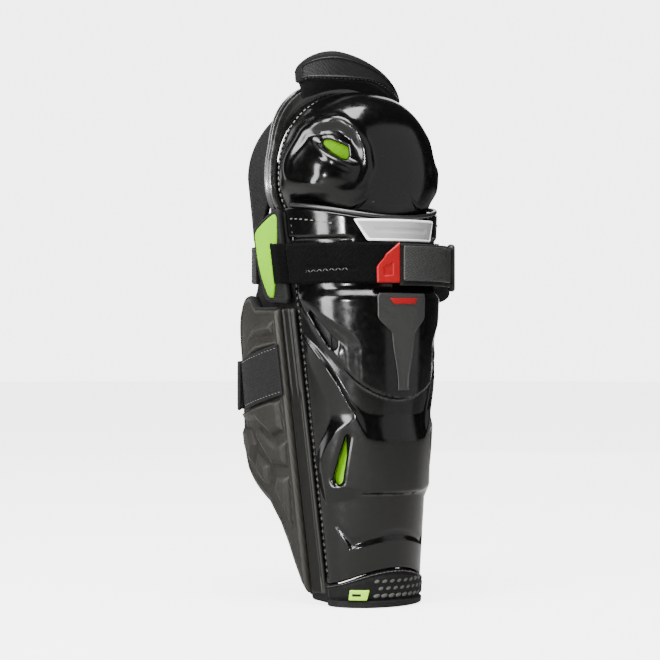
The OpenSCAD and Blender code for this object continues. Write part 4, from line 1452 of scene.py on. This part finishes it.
@dataclass
class ThighFlap(Assembly):
    """The padded flap above the cap, with its embossed insert."""

    foot: float = 352.5
    crown: float = 373.0
    half_width: float = 43.0

    def low(self, turn: Array) -> Array:
        """Lower edge."""
        return self.foot - 11 * ease(turn, 5, 65) - 3 * ease(-turn, 50, 72)

    def high(self, turn: Array) -> Array:
        """Upper edge."""
        return self.crown - np.where(
            turn < -24, 13 * np.abs((-24 - turn) / 48) ** 2, 31 * np.maximum((turn + 24) / 90, 0) ** 1.6
        )

    def at(self, turn: Array, z: Array, off: Array) -> Array:
        """A point of the flap."""
        g = np.radians(turn)
        return stack(
            3 + (self.half_width + off) * np.sin(g), 25 - (24 + off) * np.cos(g) + 0.12 * (z - self.foot), z
        )

    def build(self) -> None:
        """Builds the flap, its insert and its stitches."""

        def flap(u: Array, v: Array, off: Array) -> Array:
            turn = lerp(-72.0, 66.0, u)
            return self.at(turn, lerp(self.low(turn), self.high(turn), v), off)

        body = Sheet("thigh_flap_padded", flap, (96, 20), (130, 34), -2.6, 2.6, 2.5, corner=6.0).build()
        self.fit(body, KNIT, Slot.BLACK_FOAM, "thigh", ["thigh_flap"], fill=0.7)

        def insert(u: Array, v: Array, off: Array) -> Array:
            turn = lerp(-60.0, 42.0, u)
            return self.at(turn, lerp(self.low(turn) + 1.4, self.high(turn) - 4.2, v), off)

        def embossed(u: Array, v: Array) -> Array:
            x, y = u * 74, v * 15
            edge = np.minimum(np.minimum(x, 74 - x), np.minimum(y, 15 - y))
            ribs = 0.22 * np.cos(2 * np.pi * (x + 0.6 * y) / 2.3) * (1 - ease(x, 20, 30)) * ramp(edge, 1.4, 0.6)
            return -0.7 * ramp(edge, 0.9, 0.9) + ribs

        panel = Sheet(
            "thigh_flap_insert", insert, (74, 15), (170, 34), 2.2, 4.3, 0.9, corner=3.5, emboss=embossed
        ).build()
        self.fit(panel, WING, Slot.GREY_FOAM, "thigh", ["thigh_flap_panel"])
        self.build_web()
        turn = np.arange(-56.0, 60.0, 4.0)
        p, along, _, normal = frames_on(lambda a, b: self.at(a, b, 2.5), turn, self.low(turn) + 1.6)
        row = sew("thigh_flap_stitches", p, along, normal, (1.1, 0.4, 0.35))
        self.fit(row, THREAD_PAINTED_HIGHLIGHT, Slot.TRIM, "thigh")

    def build_web(self) -> None:
        """The cloth that joins the flap to the cap's back edge."""

        def web(u: Array, v: Array, off: Array) -> Array:
            turn = lerp(lerp(-59.0, -70.0, v), 64.0, u)
            top = self.at(turn, self.low(turn) + 2.0, off - 1.2)
            x = np.clip(top[:, 0], -46, 46)
            rise = (FORM.cap_rise - 1.0) * (1 - np.abs(x / FORM.cap_half_width) ** 2.2) ** (1 / 2.2)
            foot = stack(x, 15.5 + off * 0.3, FORM.knee_axis_z + rise + off)
            share = np.asarray(v)[..., None]
            slack = stack(0 * x, 0 * x, 1.3 * np.sin(np.pi * v))
            return foot * (1 - share) + top * share + slack

        cloth = Sheet("flap_hinge_cloth", web, (110, 14), (110, 26), -0.9, 0.9, 0.8).build()
        self.bridge(cloth, "knee", "thigh", (0, 0.016, 0.3415), (0, 0.004, 0.3525))


@dataclass
class KneeWings(Assembly):
    """The two padded wings behind the rim."""

    front_y: float = 21.6

    def at(self, e: Array, share: Array, off: Array, side: Side) -> Array:
        """A point of a wing.

        Args:
            e: Degrees up its arch, or millimetres down its straight part when negative.
            share: 0 at the back edge, 1 at the front edge.
            off: How far it stands out.
            side: Side of the leg.

        Returns:
            The points as rows.
        """
        down = np.minimum(e, 0)
        front = self.front_y + 22 * (-down / 44) ** 1.2
        back = self.front_y + np.where(
            e < 0, lerp(32.0, 27.0, -down / 44), 1 + 31 * np.cos(np.radians(1.35 * np.maximum(e, 0)))
        )
        a = np.maximum(e, 0)
        full = FORM.fullness(a, 2.2)
        return stack(
            side.value * (-(FORM.cap_half_width + off) * np.cos(np.radians(a)) * full - 0.06 * down),
            lerp(back, front, share),
            FORM.knee_axis_z + (FORM.cap_rise + off) * np.sin(np.radians(a)) * full + down,
        )

    def build(self) -> None:
        """Builds both wings, each with an embossed crescent and the knit between it and the rim."""

        def embossed(u: Array, v: Array) -> Array:
            x, y = u * 31, v * 112
            edge = np.minimum(x, 31 - x) - 2.5
            groove = bump(edge, 2.2, 1.6)
            ribs = 0.18 * np.cos(2 * np.pi * (y + 0.35 * x) / 2.6) * ramp(edge, 3.2, 1.0)
            return -0.6 * groove * ease(y, 3, 9) * (1 - ease(y, 96, 106)) + ribs

        for side in Side:
            name = side.name.lower()
            web = Sheet(
                f"knee_side_cloth_{name}",
                lambda u, v, off, side=side: self.at(lerp(-46.0, 12.0, v), np.zeros_like(u), off, side)
                * np.array([1, 0, 1]) + stack(0 * u, lerp(13.0, 37.0, u), 0 * u),
                (24, 58), (24, 46), -7.4, -6.2, 0.6,
            ).build()
            x, z = side.value * -0.052, FORM.knee_axis_z / 1000
            self.bridge(web, "knee", f"wing_{name}", (x, 0.014, z), (x, 0.032, z))
            wing = Sheet(
                f"knee_wing_{name}",
                lambda u, v, off, side=side: self.at(lerp(-44.0, 62.0, v), u, off, side),
                (31, 112), (60, 170), -3.0, 1.4, 1.8, corner=0.0, emboss=embossed,
            ).build()
            self.fit(wing, WING, Slot.GREY_FOAM, f"wing_{name}", [f"{name}_wing"], fill=0.7)


# ------------------------ straps and sides


def bezier(t: Array, points: Outline) -> Array:
    """A plan curve through its first and last point, drawn towards the two between."""
    p = [np.array(q) for q in points]
    t = np.asarray(t, float)[..., None]
    return p[0] * (1 - t) ** 3 + 3 * p[1] * t * (1 - t) ** 2 + 3 * p[2] * t * t * (1 - t) + p[3] * t**3


def upright(path: Callable[[Array], Array], t: Array, z: Array, off: Array) -> Array:
    """Points of an upright band.

    Args:
        path: Plan curve of t.
        t: Share along the curve.
        z: Height.
        off: Distance to the curve's right.

    Returns:
        The points as rows.
    """
    ahead = path(np.minimum(t + 0.01, 1)) - path(np.maximum(t - 0.01, 0))
    ahead = ahead / np.linalg.norm(ahead, axis=-1, keepdims=True)
    here = path(t)
    return stack(here[..., 0] + ahead[..., 1] * off, here[..., 1] - ahead[..., 0] * off, z)


@dataclass
class UpperStrap(Assembly):
    """The loop band round the shell and the strap end that closes on it."""

    foot: float = 215.0
    width: float = 26.0
    webbing: float = 2.0
    lift: float = 4.4
    leave: float = 50.0
    keeper: tuple[float, float] = (70.5, -9.0)

    def at(self, t: Array, z: Array, off: Array) -> Array:
        """A point of the strap end, at a share of its plan curve."""
        return upright(lambda share: self.plan(share, self.lift), t, z, off)

    def plan(self, t: Array, off: float) -> Array:
        """The strap end's plan curve: round the shell, then off it to the keeper."""
        z = self.foot + self.width / 2
        split = 0.55
        start = FORM.on_shin(self.leave, z, off)[..., :2].reshape(2)
        turn = math.radians(self.leave)
        heading = np.array([math.cos(turn), math.sin(turn)])
        keeper = np.array(self.keeper)
        round_shell = FORM.on_shin(lerp(-4.0, self.leave, np.clip(t / split, 0, 1)), z, off)[..., :2]
        free = bezier(
            np.clip((t - split) / (1 - split), 0, 1),
            [tuple(start), tuple(start + heading * 8), tuple(keeper - np.array([5, 8])), tuple(keeper)],
        )
        return np.where(np.asarray(t < split)[..., None], round_shell, free)

    def build_loop_band(self) -> None:
        """The brushed loop band, its raised end on the gusset, its fuzz and its zigzag seam."""

        def plush(u: Array, v: Array) -> Array:
            x, y = u * 120, v * 26
            tufts = np.sin(x * 2.9 + 1.7 * np.sin(y * 1.3)) * np.sin(y * 3.1 + 1.3 * np.sin(x * 0.9))
            seam = bump(y + 0.05 * x, 11.5, 2.0) * ease(x, 14, 18) * (1 - ease(x, 46, 50))
            return 0.28 * tufts - 0.5 * seam

        band = Sheet(
            "loop_band_brushed",
            lambda u, v, off: FORM.on_shin(lerp(-89.5, 50.0, u), lerp(self.foot - 0.5, self.foot + 26, v), off),
            (120, 26), (240, 56), 0.3, 3.2, 1.3, emboss=plush,
        ).build()
        self.fit(band, PILE, Slot.HOOK_LOOP, "shin", ["loop_band"])
        end = Sheet(
            "loop_band_end_brushed",
            lambda u, v, off: FORM.on_side(
                lerp(0.0, 9.0, u), lerp(self.foot - 0.5, self.foot + 26, v), off - 5.5 * (1 - ease(u, 0.0, 0.3)),
                bulge=6.0, curl=0.0,
            ),
            (9, 26), (26, 56), 6.6, 9.2, 1.2, emboss=lambda u, v: plush(u * 0.08, v),
        ).build()
        self.fit(end, PILE, Slot.HOOK_LOOP, "shin", ["loop_band_end"])
        # Loose fibres: a thick fringe at the cut end and thin ones along both edges.
        rng = np.random.default_rng(12)
        count = 620
        z = rng.uniform(self.foot - 0.6, self.foot + self.width + 0.2, count)
        p, along, up, normal = frames_on(
            lambda a, b: FORM.on_side(a, b, 8.2, bulge=6.0, curl=0.0), rng.uniform(7.2, 9.0, count), z
        )
        ahead = along + rng.normal(0, 0.5, (count, 3))
        phi = rng.uniform(-88, 48, count)
        edge = self.foot + np.where(rng.random(count) < 0.5, -0.5, self.width)
        q, along_b, up_b, _ = frames_on(lambda a, b: FORM.on_shin(a, b, 2.6), phi, edge)
        lean = np.where(edge > self.foot + 5, 1.0, -1.0)[:, None] * up_b + rng.normal(0, 0.45, (count, 3))
        points, heading = np.concatenate([p, q]), np.concatenate([ahead, lean])
        away = np.concatenate([np.cross(heading[:count], up), np.cross(heading[count:], along_b)])
        fuzz = sew("loop_band_fibres", points, heading, away, (1.25, 0.13, 0.13), 3)
        self.fit(fuzz, PILE, Slot.HOOK_LOOP, "shin")
        phi = np.arange(-70.0, -38.0, 2.3)
        zig = np.where(np.arange(len(phi)) % 2 == 0, 1.0, -1.0)[:, None]
        p, along, up, normal = frames_on(lambda a, b: FORM.on_shin(a, b, 3.15), phi, self.foot + 10.6 + 0.05 * phi)
        seam = sew("loop_band_zigzag", p, along + 0.9 * zig * up, normal, (1.3, 0.22, 0.25))
        self.fit(seam, THREAD_PAINTED_HIGHLIGHT, Slot.TRIM, "shin")

    def build_strap_end(self) -> None:
        """The webbing end, its ribbed patch and its red pull tab."""

        def webbing(u: Array, v: Array, off: Array) -> Array:
            middle, half = self.foot + self.width / 2 - 1.4, 13.8 - 4.5 * ease(u, 0.86, 0.98)
            return self.at(u, middle + half * (2 * v - 1), off)

        def edges(u: Array, v: Array) -> Array:
            y = v * 27.6
            rib = 0.12 * np.cos(2 * np.pi * u * 84 / 1.9)
            return rib + 0.35 * (1 - ramp(np.minimum(y, 27.6 - y), 1.6, 0.5))

        strap = Sheet(
            "upper_strap_webbing", webbing, (84, 27.6), (180, 44), -0.2, self.webbing - 0.1, 0.9, emboss=edges
        ).build()
        self.fit(strap, WEBBING, Slot.WEBBING, "upper_strap_end", ["strap_tab"])
        patch = Sheet(
            "upper_strap_patch_ribbed",
            lambda u, v, off: self.at(lerp(0.02, 0.8, u), lerp(self.foot + 0.8, self.foot + 24.0, v), off),
            (64, 23), (150, 44), 2.0, 3.3, 0.6, corner=1.0,
            emboss=lambda u, v: 0.16 * np.sign(np.sin(2 * np.pi * (u * 64 + v * 15) / 2.6))
            * ramp(from_edge(u, v, 64, 23), 1.6, 0.5),
        ).build()
        self.fit(patch, RIB_PATCH, Slot.RUBBER, "upper_strap_end", ["strap_patch"])
        bound = Sheet(
            "upper_strap_end_bound",
            lambda u, v, off: self.at(
                lerp(0.87, 1.0, u), lerp(self.foot - 5.0, self.foot + self.width + 2.0, v), off
            ),
            (15, 34), (40, 60), -0.8, 4.4, 1.9, corner=5.0,
        ).build()
        self.fit(bound, SATIN_RUBBER, Slot.RUBBER, "upper_strap_end")

        def tab(u: Array, v: Array, off: Array) -> Array:
            # A slanted end, as on a cut ribbon.
            return FORM.on_shin(
                lerp(-20.5 + 6.0 * ease(v, 0.5, 1.0), -4.2, u),
                lerp(self.foot - 0.6, self.foot + 18.0 + 8.4 * u, v), off,
            )

        pull = Sheet(
            "upper_strap_pull_tab", tab, (14.5, 25), (44, 60), 4.5, 7.2, 1.0, corner=0.8,
            emboss=lambda u, v: -0.5 * (1 - ramp(outline_distance(
                u * 14.5, v * 25, [(4.4, 5.5), (9.6, 5.5), (9.6, 13.5), (4.4, 12.4)]), -0.1, 0.6)),
        ).build()
        self.fit(pull, RED, Slot.RED, "upper_strap_end", ["pull_tab"])

    def build(self) -> None:
        """Builds the upper strap."""
        self.build_loop_band()
        self.build_strap_end()


@dataclass
class Gussets(Assembly):
    """The lime stretch panels in their black bindings, and the elastic behind the knee."""

    reach: float = 34.0
    bulge: float = 4.0

    def foot(self, s: Array) -> Array:
        """Lower edge of the lateral gusset."""
        return 201.0 + 2.0 * s / self.reach

    def top(self, s: Array) -> Array:
        """Upper edge of the lateral gusset."""
        return 266.0 - 15.0 * (s / self.reach) ** 1.3

    @staticmethod
    def flare(t: Array) -> Array:
        """Plan curve of the medial keeper."""
        return bezier(t, [(58, 3), (77, -13), (80.5, 10), (75.6, 35.4)])

    @staticmethod
    def keeper_foot(t: Array) -> Array:
        """Lower edge of the medial keeper."""
        return lerp(202.0, 216.0, ease(t, 0.1, 0.8))

    def build_lateral(self) -> None:
        """Binding and lime panel of the outer side."""

        def frame_at(u: Array, v: Array, off: Array) -> Array:
            s = lerp(1.6, self.reach + 0.4 - 8.0 * (1 - v) ** 3, u)
            return FORM.on_side(s, lerp(self.foot(s), self.top(s), v), off, bulge=self.bulge, curl=0.0)

        binding = Sheet(
            "lateral_gusset_bound", frame_at, (33, 62), (60, 90), 0.5, 4.0, 1.7, corner=5.0,
            emboss=lambda u, v: 0.7 * (1 - ramp(from_edge(u, v, 33, 62), 3.0, 0.8)),
        ).build()
        self.fit(binding, WEBBING, Slot.WEBBING, "shin", ["lateral_gusset"], fill=0.8)

        def panel_at(u: Array, v: Array, off: Array) -> Array:
            s = lerp(3.0 + 13.5 * (1 - v) ** 1.3, self.reach - 3.0 - 10.0 * (1 - v) ** 3, u)
            return FORM.on_side(
                s, lerp(self.foot(s) + 3.2, self.top(s) - 3.4, v), off, bulge=self.bulge, curl=0.0
            )

        panel = Sheet(
            "lateral_gusset_lime", panel_at, (27, 52), (60, 110), 3.6, 5.6, 1.8, corner=4.5,
            emboss=lambda u, v: 0.5 * np.sin(np.pi * u) * np.sin(np.pi * v),
        ).build()
        self.fit(panel, LIME, Slot.LIME, "shin", ["lateral_gusset_panel"], fill=0.8)

    def build_medial(self) -> None:
        """The flared keeper of the inner side, its lime panel and the elastic behind the knee."""

        def keeper_at(u: Array, v: Array, off: Array) -> Array:
            return upright(self.flare, u, lerp(self.keeper_foot(u), 243.0 - 2.0 * u, v), off)

        keeper = Sheet(
            "medial_keeper_bound", keeper_at, (52, 36), (110, 56), 0.0, 3.0, 1.4, corner=4.0,
            emboss=lambda u, v: 0.5 * (1 - ramp(from_edge(u, v, 52, 36), 3.0, 0.8)),
        ).build()
        self.fit(keeper, WEBBING, Slot.WEBBING, "shin", ["medial_gusset"], fill=0.8)

        def lime_at(u: Array, v: Array, off: Array) -> Array:
            t = lerp(0.6, 0.95, u)
            return upright(self.flare, t, lerp(self.keeper_foot(t) + 4.0, 236.5, v), off)

        lime = Sheet("medial_keeper_lime", lime_at, (17, 17), (40, 40), 2.8, 4.6, 1.5, corner=3.0).build()
        self.fit(lime, LIME, Slot.LIME, "shin", ["medial_gusset_panel"], fill=0.8)

        def behind(t: Array) -> Array:
            a = np.pi * np.asarray(t, float)
            return np.stack([9.5 + 66.5 * np.cos(a), 36 + 32 * np.sin(a)], -1)

        elastic = Sheet(
            "knee_back_elastic",
            lambda u, v, off: upright(behind, u, lerp(215.0, 240.0, v), off),
            (172, 25), (240, 36), 0.0, 2.0, 0.9,
            emboss=lambda u, v: 0.1 * np.cos(2 * np.pi * v * 25 / 2.5),
        ).build()
        self.fit(elastic, ELASTIC, Slot.WEBBING, "shin", ["back_strap"])

    def build(self) -> None:
        """Builds both sides."""
        self.build_lateral()
        self.build_medial()


def lower_strap_middle(s: Array) -> Array:
    """Height of the lower strap's middle line, a distance behind the shell's edge."""
    return lerp(161.0, 145.0, np.clip(s / 62, 0, 1))


@dataclass
class CalfWrap(Assembly):
    """A padded calf wrap with its embossed facets and bound edge."""

    side: Side = Side.LATERAL
    start: float = 13.2
    reach: float = 82.0
    wall: float = 8.0
    foot_line: tuple[tuple[float, float], ...] = (
        (13, 6), (18, 15), (22, 27), (26, 41), (31, 54), (40, 68), (55, 78), (66, 86), (75, 98), (82, 114),
    )

    def foot(self, s: Array) -> Array:
        """Lower edge."""
        knots = np.array(self.foot_line, float)
        return np.interp(s, knots[:, 0], knots[:, 1])

    def top(self, s: Array) -> Array:
        """Upper edge."""
        return lerp(198, 206, ease(s, 35.5, 43)) - 42 * (np.maximum(0, s - 44) / 38) ** 1.7

    def where(self, u: Array, v: Array) -> tuple[Array, Array]:
        """Distance behind the shell's edge and height of a point of the wrap's square."""
        s = lerp(self.start, self.reach, u)
        return s, lerp(self.foot(s), self.top(s), v)

    def facets(self, u: Array, v: Array) -> Array:
        """The embossed facets: pressed valleys between flat-topped islands."""
        s, z = self.where(u, v)
        islands = (
            ((19, 137), (40, 140), (62, 134), (74, 128), (70, 121), (46, 122), (30, 112), (19, 116)),
            ((17.5, 110), (27, 107), (45, 118), (50, 112), (33, 92), (19, 92)),
            ((50, 106), (58, 116), (77, 117), (72, 103), (64, 94), (56, 92)),
            ((37, 92), (49, 100), (54, 89), (45, 80), (38, 78)),
            ((18.5, 86), (30, 86), (34, 76), (26, 62), (20.5, 50)),
            ((18, 190), (40, 186), (54, 174), (44, 178), (19, 181)),
            ((18, 176), (36, 176), (60, 164), (62, 158), (40, 167), (18, 169)),
        )
        raised = np.zeros_like(s)
        for corners in islands:
            distance = outline_distance(s, z, corners)
            raised = np.maximum(raised, 2.4 * ramp(-distance, 0.0, 4.0) + 0.9 * ramp(-distance, 0.0, 0.9))
        strap = 1 - ease(np.abs(z - lower_strap_middle(s)), 17, 20)
        raised = raised * (1 - strap)
        edge = np.minimum(np.minimum(u, 1 - u) * 70, np.minimum(z - self.foot(s), self.top(s) - z))
        return (raised - 1.3) * ramp(edge, 2.6, 1.2)

    def build(self) -> None:
        """Builds the wrap and its bound edge."""
        name = self.side.name.lower()
        body = f"calf_{name}"
        wrap = Sheet(
            f"calf_wrap_{name}",
            lambda u, v, off: FORM.on_side(*self.where(u, v), off, self.side),
            (72.0, 120.0), (150, 190), -self.wall / 2, self.wall / 2, 2.6, emboss=self.facets,
        ).build()
        self.fit(wrap, WRAP, Slot.GREY_FOAM, body, [f"{name}_calf_wrap"], fill=0.8)
        hinge = Sheet(
            f"calf_hinge_cloth_{name}",
            lambda u, v, off: FORM.on_side(lerp(7.0, 19.0, u), lerp(14.0 + 8 * u, 192.0, v), off, self.side),
            (12, 176), (20, 70), -3.9, -2.7, 0.6,
        ).build()
        ends = FORM.on_side(np.array([9.0, 16.0]), np.full(2, 100.0), np.full(2, -3.3), self.side) / 1000
        front, rear = (tuple(end) for end in ends.tolist())
        self.bridge(hinge, "shin", body, front, rear)
        for end, edge, drop in (("lower", self.foot, 0.5), ("upper", self.top, -0.5)):

            def round_edge(t: Array, across: Array, up: Array, edge: Edge = edge, drop: float = drop) -> Array:
                s = lerp(self.start + 0.6, self.reach, t)
                return FORM.on_side(s, edge(s) + drop + up, across, self.side)

            bead = Bead(f"calf_wrap_{name}_{end}_binding", round_edge, 90.0, (3.3, 1.5), (130, 14)).build()
            self.fit(bead, WEBBING, Slot.WEBBING, body)
        low, high = (float(edge(np.array(self.reach))) for edge in (self.foot, self.top))
        back = Bead(
            f"calf_wrap_{name}_back_binding",
            lambda t, across, up: FORM.on_side(self.reach + 0.2 + up, lerp(low, high, t), across, self.side),
            18.0, (3.3, 1.4), (30, 14),
        ).build()
        self.fit(back, WEBBING, Slot.WEBBING, body)


@dataclass
class LowerStrap(Assembly):
    """The broad strap on the outer wrap, its free end with the hook patch, and the patch that it closes on."""

    width: float = 34.0
    webbing: float = 2.0
    start: float = 14.5
    end: float = 59.5
    tail_start: float = 64.0
    tail_off: float = 5.95
    tail_radius: float = 60.0
    tail_z: float = 145.0
    tail_heading: float = 20.0

    def tail(self, t: Array, z: Array, off: Array) -> Array:
        """A point of the strap's free end."""
        heading = math.radians(self.tail_heading)
        base = FORM.on_side(np.array(self.tail_start), np.array(self.tail_z), np.array(self.tail_off))
        h = np.radians(lerp(self.tail_heading, 88.0, t))
        return stack(
            base[0] + self.tail_radius * (math.cos(heading) - np.cos(h)) - off * np.cos(h),
            base[1] + self.tail_radius * (np.sin(h) - math.sin(heading)) + off * np.sin(h),
            z,
        )

    def build(self) -> None:
        """Builds the strap, its end and its patches."""
        half = self.width / 2

        def ribs(u: Array, v: Array) -> Array:
            y = v * self.width
            stitched = bump(np.minimum(y, self.width - y), 2.4, 0.7)
            return 0.1 * np.cos(2 * np.pi * y / 2.1) - 0.25 * stitched

        def on_wrap(u: Array, v: Array, off: Array) -> Array:
            s = lerp(self.start, self.end, u)
            return FORM.on_side(s, lower_strap_middle(s) + lerp(-half, half, v), off)

        strap = Sheet("lower_strap_webbing", on_wrap, (48, 34), (120, 60), 4.3, 6.3, 0.9, emboss=ribs).build()
        self.fit(strap, WEBBING, Slot.WEBBING, "calf_lateral", ["lower_strap"])
        s = np.arange(17.0, 58.0, 3.0)
        rows = []
        for edge in (-14.6, 14.6):
            p, along, _, normal = frames_on(lambda a, b: FORM.on_side(a, b, 6.35), s, lower_strap_middle(s) + edge)
            rows.append((p, along, -normal))
        seams = sew_rows("lower_strap_stitches", rows, (1.0, 0.3, 0.3))
        self.fit(seams, THREAD_PAINTED_HIGHLIGHT, Slot.TRIM, "calf_lateral")
        end = Sheet(
            "lower_strap_end_webbing",
            lambda u, v, off: self.tail(u, lerp(self.tail_z - half, self.tail_z + half, v), off),
            (71, 34), (130, 60), 0.0, self.webbing, 0.9, corner=3.0, emboss=ribs,
        ).build()
        self.fit(end, WEBBING, Slot.WEBBING, "lower_strap_end", ["lower_strap_tail"])
        hook = Sheet(
            "lower_strap_hook_patch",
            lambda u, v, off: self.tail(lerp(0.66, 0.985, u), lerp(self.tail_z - 13, self.tail_z + 13, v), off),
            (23, 26), (40, 44), -1.6, -0.2, 0.5, corner=2.0,
        ).build()
        self.fit(hook, HOOK, Slot.HOOK_LOOP, "lower_strap_end", ["lower_strap_hook"])
        patch = Sheet(
            "medial_loop_patch_brushed",
            lambda u, v, off: FORM.on_side(lerp(38.0, 66.0, u), lerp(130.0, 156.0, v), off, Side.MEDIAL),
            (28, 26), (60, 56), 4.0, 5.6, 0.9, corner=3.0,
            emboss=lambda u, v: 0.2 * np.sin(u * 81 + np.sin(v * 34)) * np.sin(v * 80 + np.sin(u * 25)),
        ).build()
        self.fit(patch, PILE, Slot.HOOK_LOOP, "calf_medial", ["medial_loop_patch"])


# ------------------------ studio


@dataclass
class Studio:
    """Pale floor, soft boxes and the camera.

    Args:
        shop: Where the floor gets its finish.
        turn: The camera's azimuth in degrees.
        distance: Its distance from the leg's axis in metres.
        lens: Its lens on a 36 mm sensor.
        centre: What the middle of the view shows: metres to the right of the leg's axis, and height.
    """

    shop: FinishShop
    turn: float = -33.0
    distance: float = 1.40
    lens: float = 112.3
    centre: tuple[float, float] = (-0.0184, 0.1836)

    def soft_box(
        self, name: str, azimuth: float, elevation: float, away: float, size: tuple[float, float], power: float,
        aim: Point = (0.0, 0.0, 0.19),
    ) -> None:
        """Adds a soft box.

        Args:
            name: Its name.
            azimuth: Degrees round the object, 0 in front.
            elevation: Degrees above the floor.
            away: Distance in metres.
            size: Width and height in metres.
            power: Power in watts.
            aim: What it points at.
        """
        a, e = math.radians(azimuth), math.radians(elevation)
        back = Vector((math.sin(a) * math.cos(e), -math.cos(a) * math.cos(e), math.sin(e)))
        data = bpy.data.lights.new(name, "AREA")
        data.shape = "RECTANGLE"
        data.size, data.size_y, data.energy = size[0], size[1], power
        light = bpy.data.objects.new(name, data)
        bpy.context.scene.collection.objects.link(light)
        light.location = Vector(aim) + back * away
        light.rotation_mode = "QUATERNION"
        light.rotation_quaternion = (-back).to_track_quat("-Z", "Y")

    def build_lights(self) -> None:
        """The lights: a broad and a tall box in front, two strips behind, a box above and a small flash."""
        self.soft_box("front_right_box", 34, 14, 1.7, (1.9, 1.3), 9)
        self.soft_box("left_tall_box", -76, 16, 1.6, (0.45, 1.5), 78)
        self.soft_box("back_left_strip", -150, 20, 1.6, (0.5, 1.4), 6)
        self.soft_box("back_right_strip", 140, 20, 1.6, (0.5, 1.4), 6)
        self.soft_box("top_box", -30, 72, 1.4, (1.0, 0.8), 80)
        self.soft_box("ring_flash", -47, 4, 1.5, (0.10, 0.10), 14)

    def build_floor(self) -> None:
        """A plain pale floor."""
        bpy.ops.object.select_all(action="DESELECT")
        bpy.ops.mesh.primitive_circle_add(vertices=96, radius=6.0, fill_type="NGON", location=(0, 0, 0))
        floor = bpy.context.object
        floor.name = floor.data.name = "studio_floor"
        floor.data.materials.append(self.shop.get(FLOOR))

    def build_world(self) -> None:
        """Pale surroundings."""
        world = bpy.data.worlds.new("studio_surroundings")
        bpy.context.scene.world = world
        world.use_nodes = True
        tree = world.node_tree
        tree.nodes.clear()
        seen = add_node(tree, "ShaderNodeLightPath", {})
        strength = add_node(
            tree, "ShaderNodeMapRange",
            {"Value": seen.outputs["Is Camera Ray"], "From Min": 0.0, "From Max": 1.0, "To Min": 0.05, "To Max": 5.0},
        )
        shade = add_node(
            tree, "ShaderNodeBackground", {"Color": linear("#FBFAF8"), "Strength": strength.outputs[0]}
        )
        add_node(tree, "ShaderNodeOutputWorld", {"Surface": shade.outputs[0]})

    def build_camera(self) -> None:
        """The camera, level and turned towards the outer side."""
        turn = math.radians(self.turn)
        right, ahead = Vector((math.cos(turn), math.sin(turn), 0)), Vector((-math.sin(turn), math.cos(turn), 0))
        data = bpy.data.cameras.new("studio_camera")
        data.lens, data.sensor_width = self.lens, 36.0
        data.clip_start, data.clip_end = 0.05, 30.0
        camera = bpy.data.objects.new("studio_camera", data)
        bpy.context.scene.collection.objects.link(camera)
        camera.location = right * self.centre[0] - ahead * self.distance + Vector((0, 0, self.centre[1]))
        camera.rotation_mode = "QUATERNION"
        camera.rotation_quaternion = ahead.to_track_quat("-Z", "Y")
        bpy.context.scene.camera = camera

    def build(self) -> None:
        """Builds the studio."""
        self.build_camera()
        self.build_floor()
        self.build_world()
        self.build_lights()


def dress_frame(shop: FinishShop) -> None:
    """Gives every node of the frame a made finish, also those that a detailed piece stands for."""
    for name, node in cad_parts.items():
        node.data.materials.clear()
        node.data.materials.append(shop.get(LIME if "lime" in name or "panel" in name else SATIN_RUBBER))


def main() -> None:
    """Builds the guard and its studio in order."""
    logging.basicConfig(level=logging.INFO, format="%(name)s: %(message)s")
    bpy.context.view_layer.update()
    shop = FinishShop()
    dress_frame(shop)
    Studio(shop).build()
    for assembly in (
        ShinShell(shop), ShinPadding(shop), KneeCap(shop), ThighFlap(shop), KneeWings(shop), UpperStrap(shop),
        Gussets(shop), CalfWrap(shop, Side.LATERAL), CalfWrap(shop, Side.MEDIAL), LowerStrap(shop),
    ):
        assembly.build()
        log.info("%s done", type(assembly).__name__)
    bpy.context.view_layer.update()


if __name__ == "__main__":
    main()
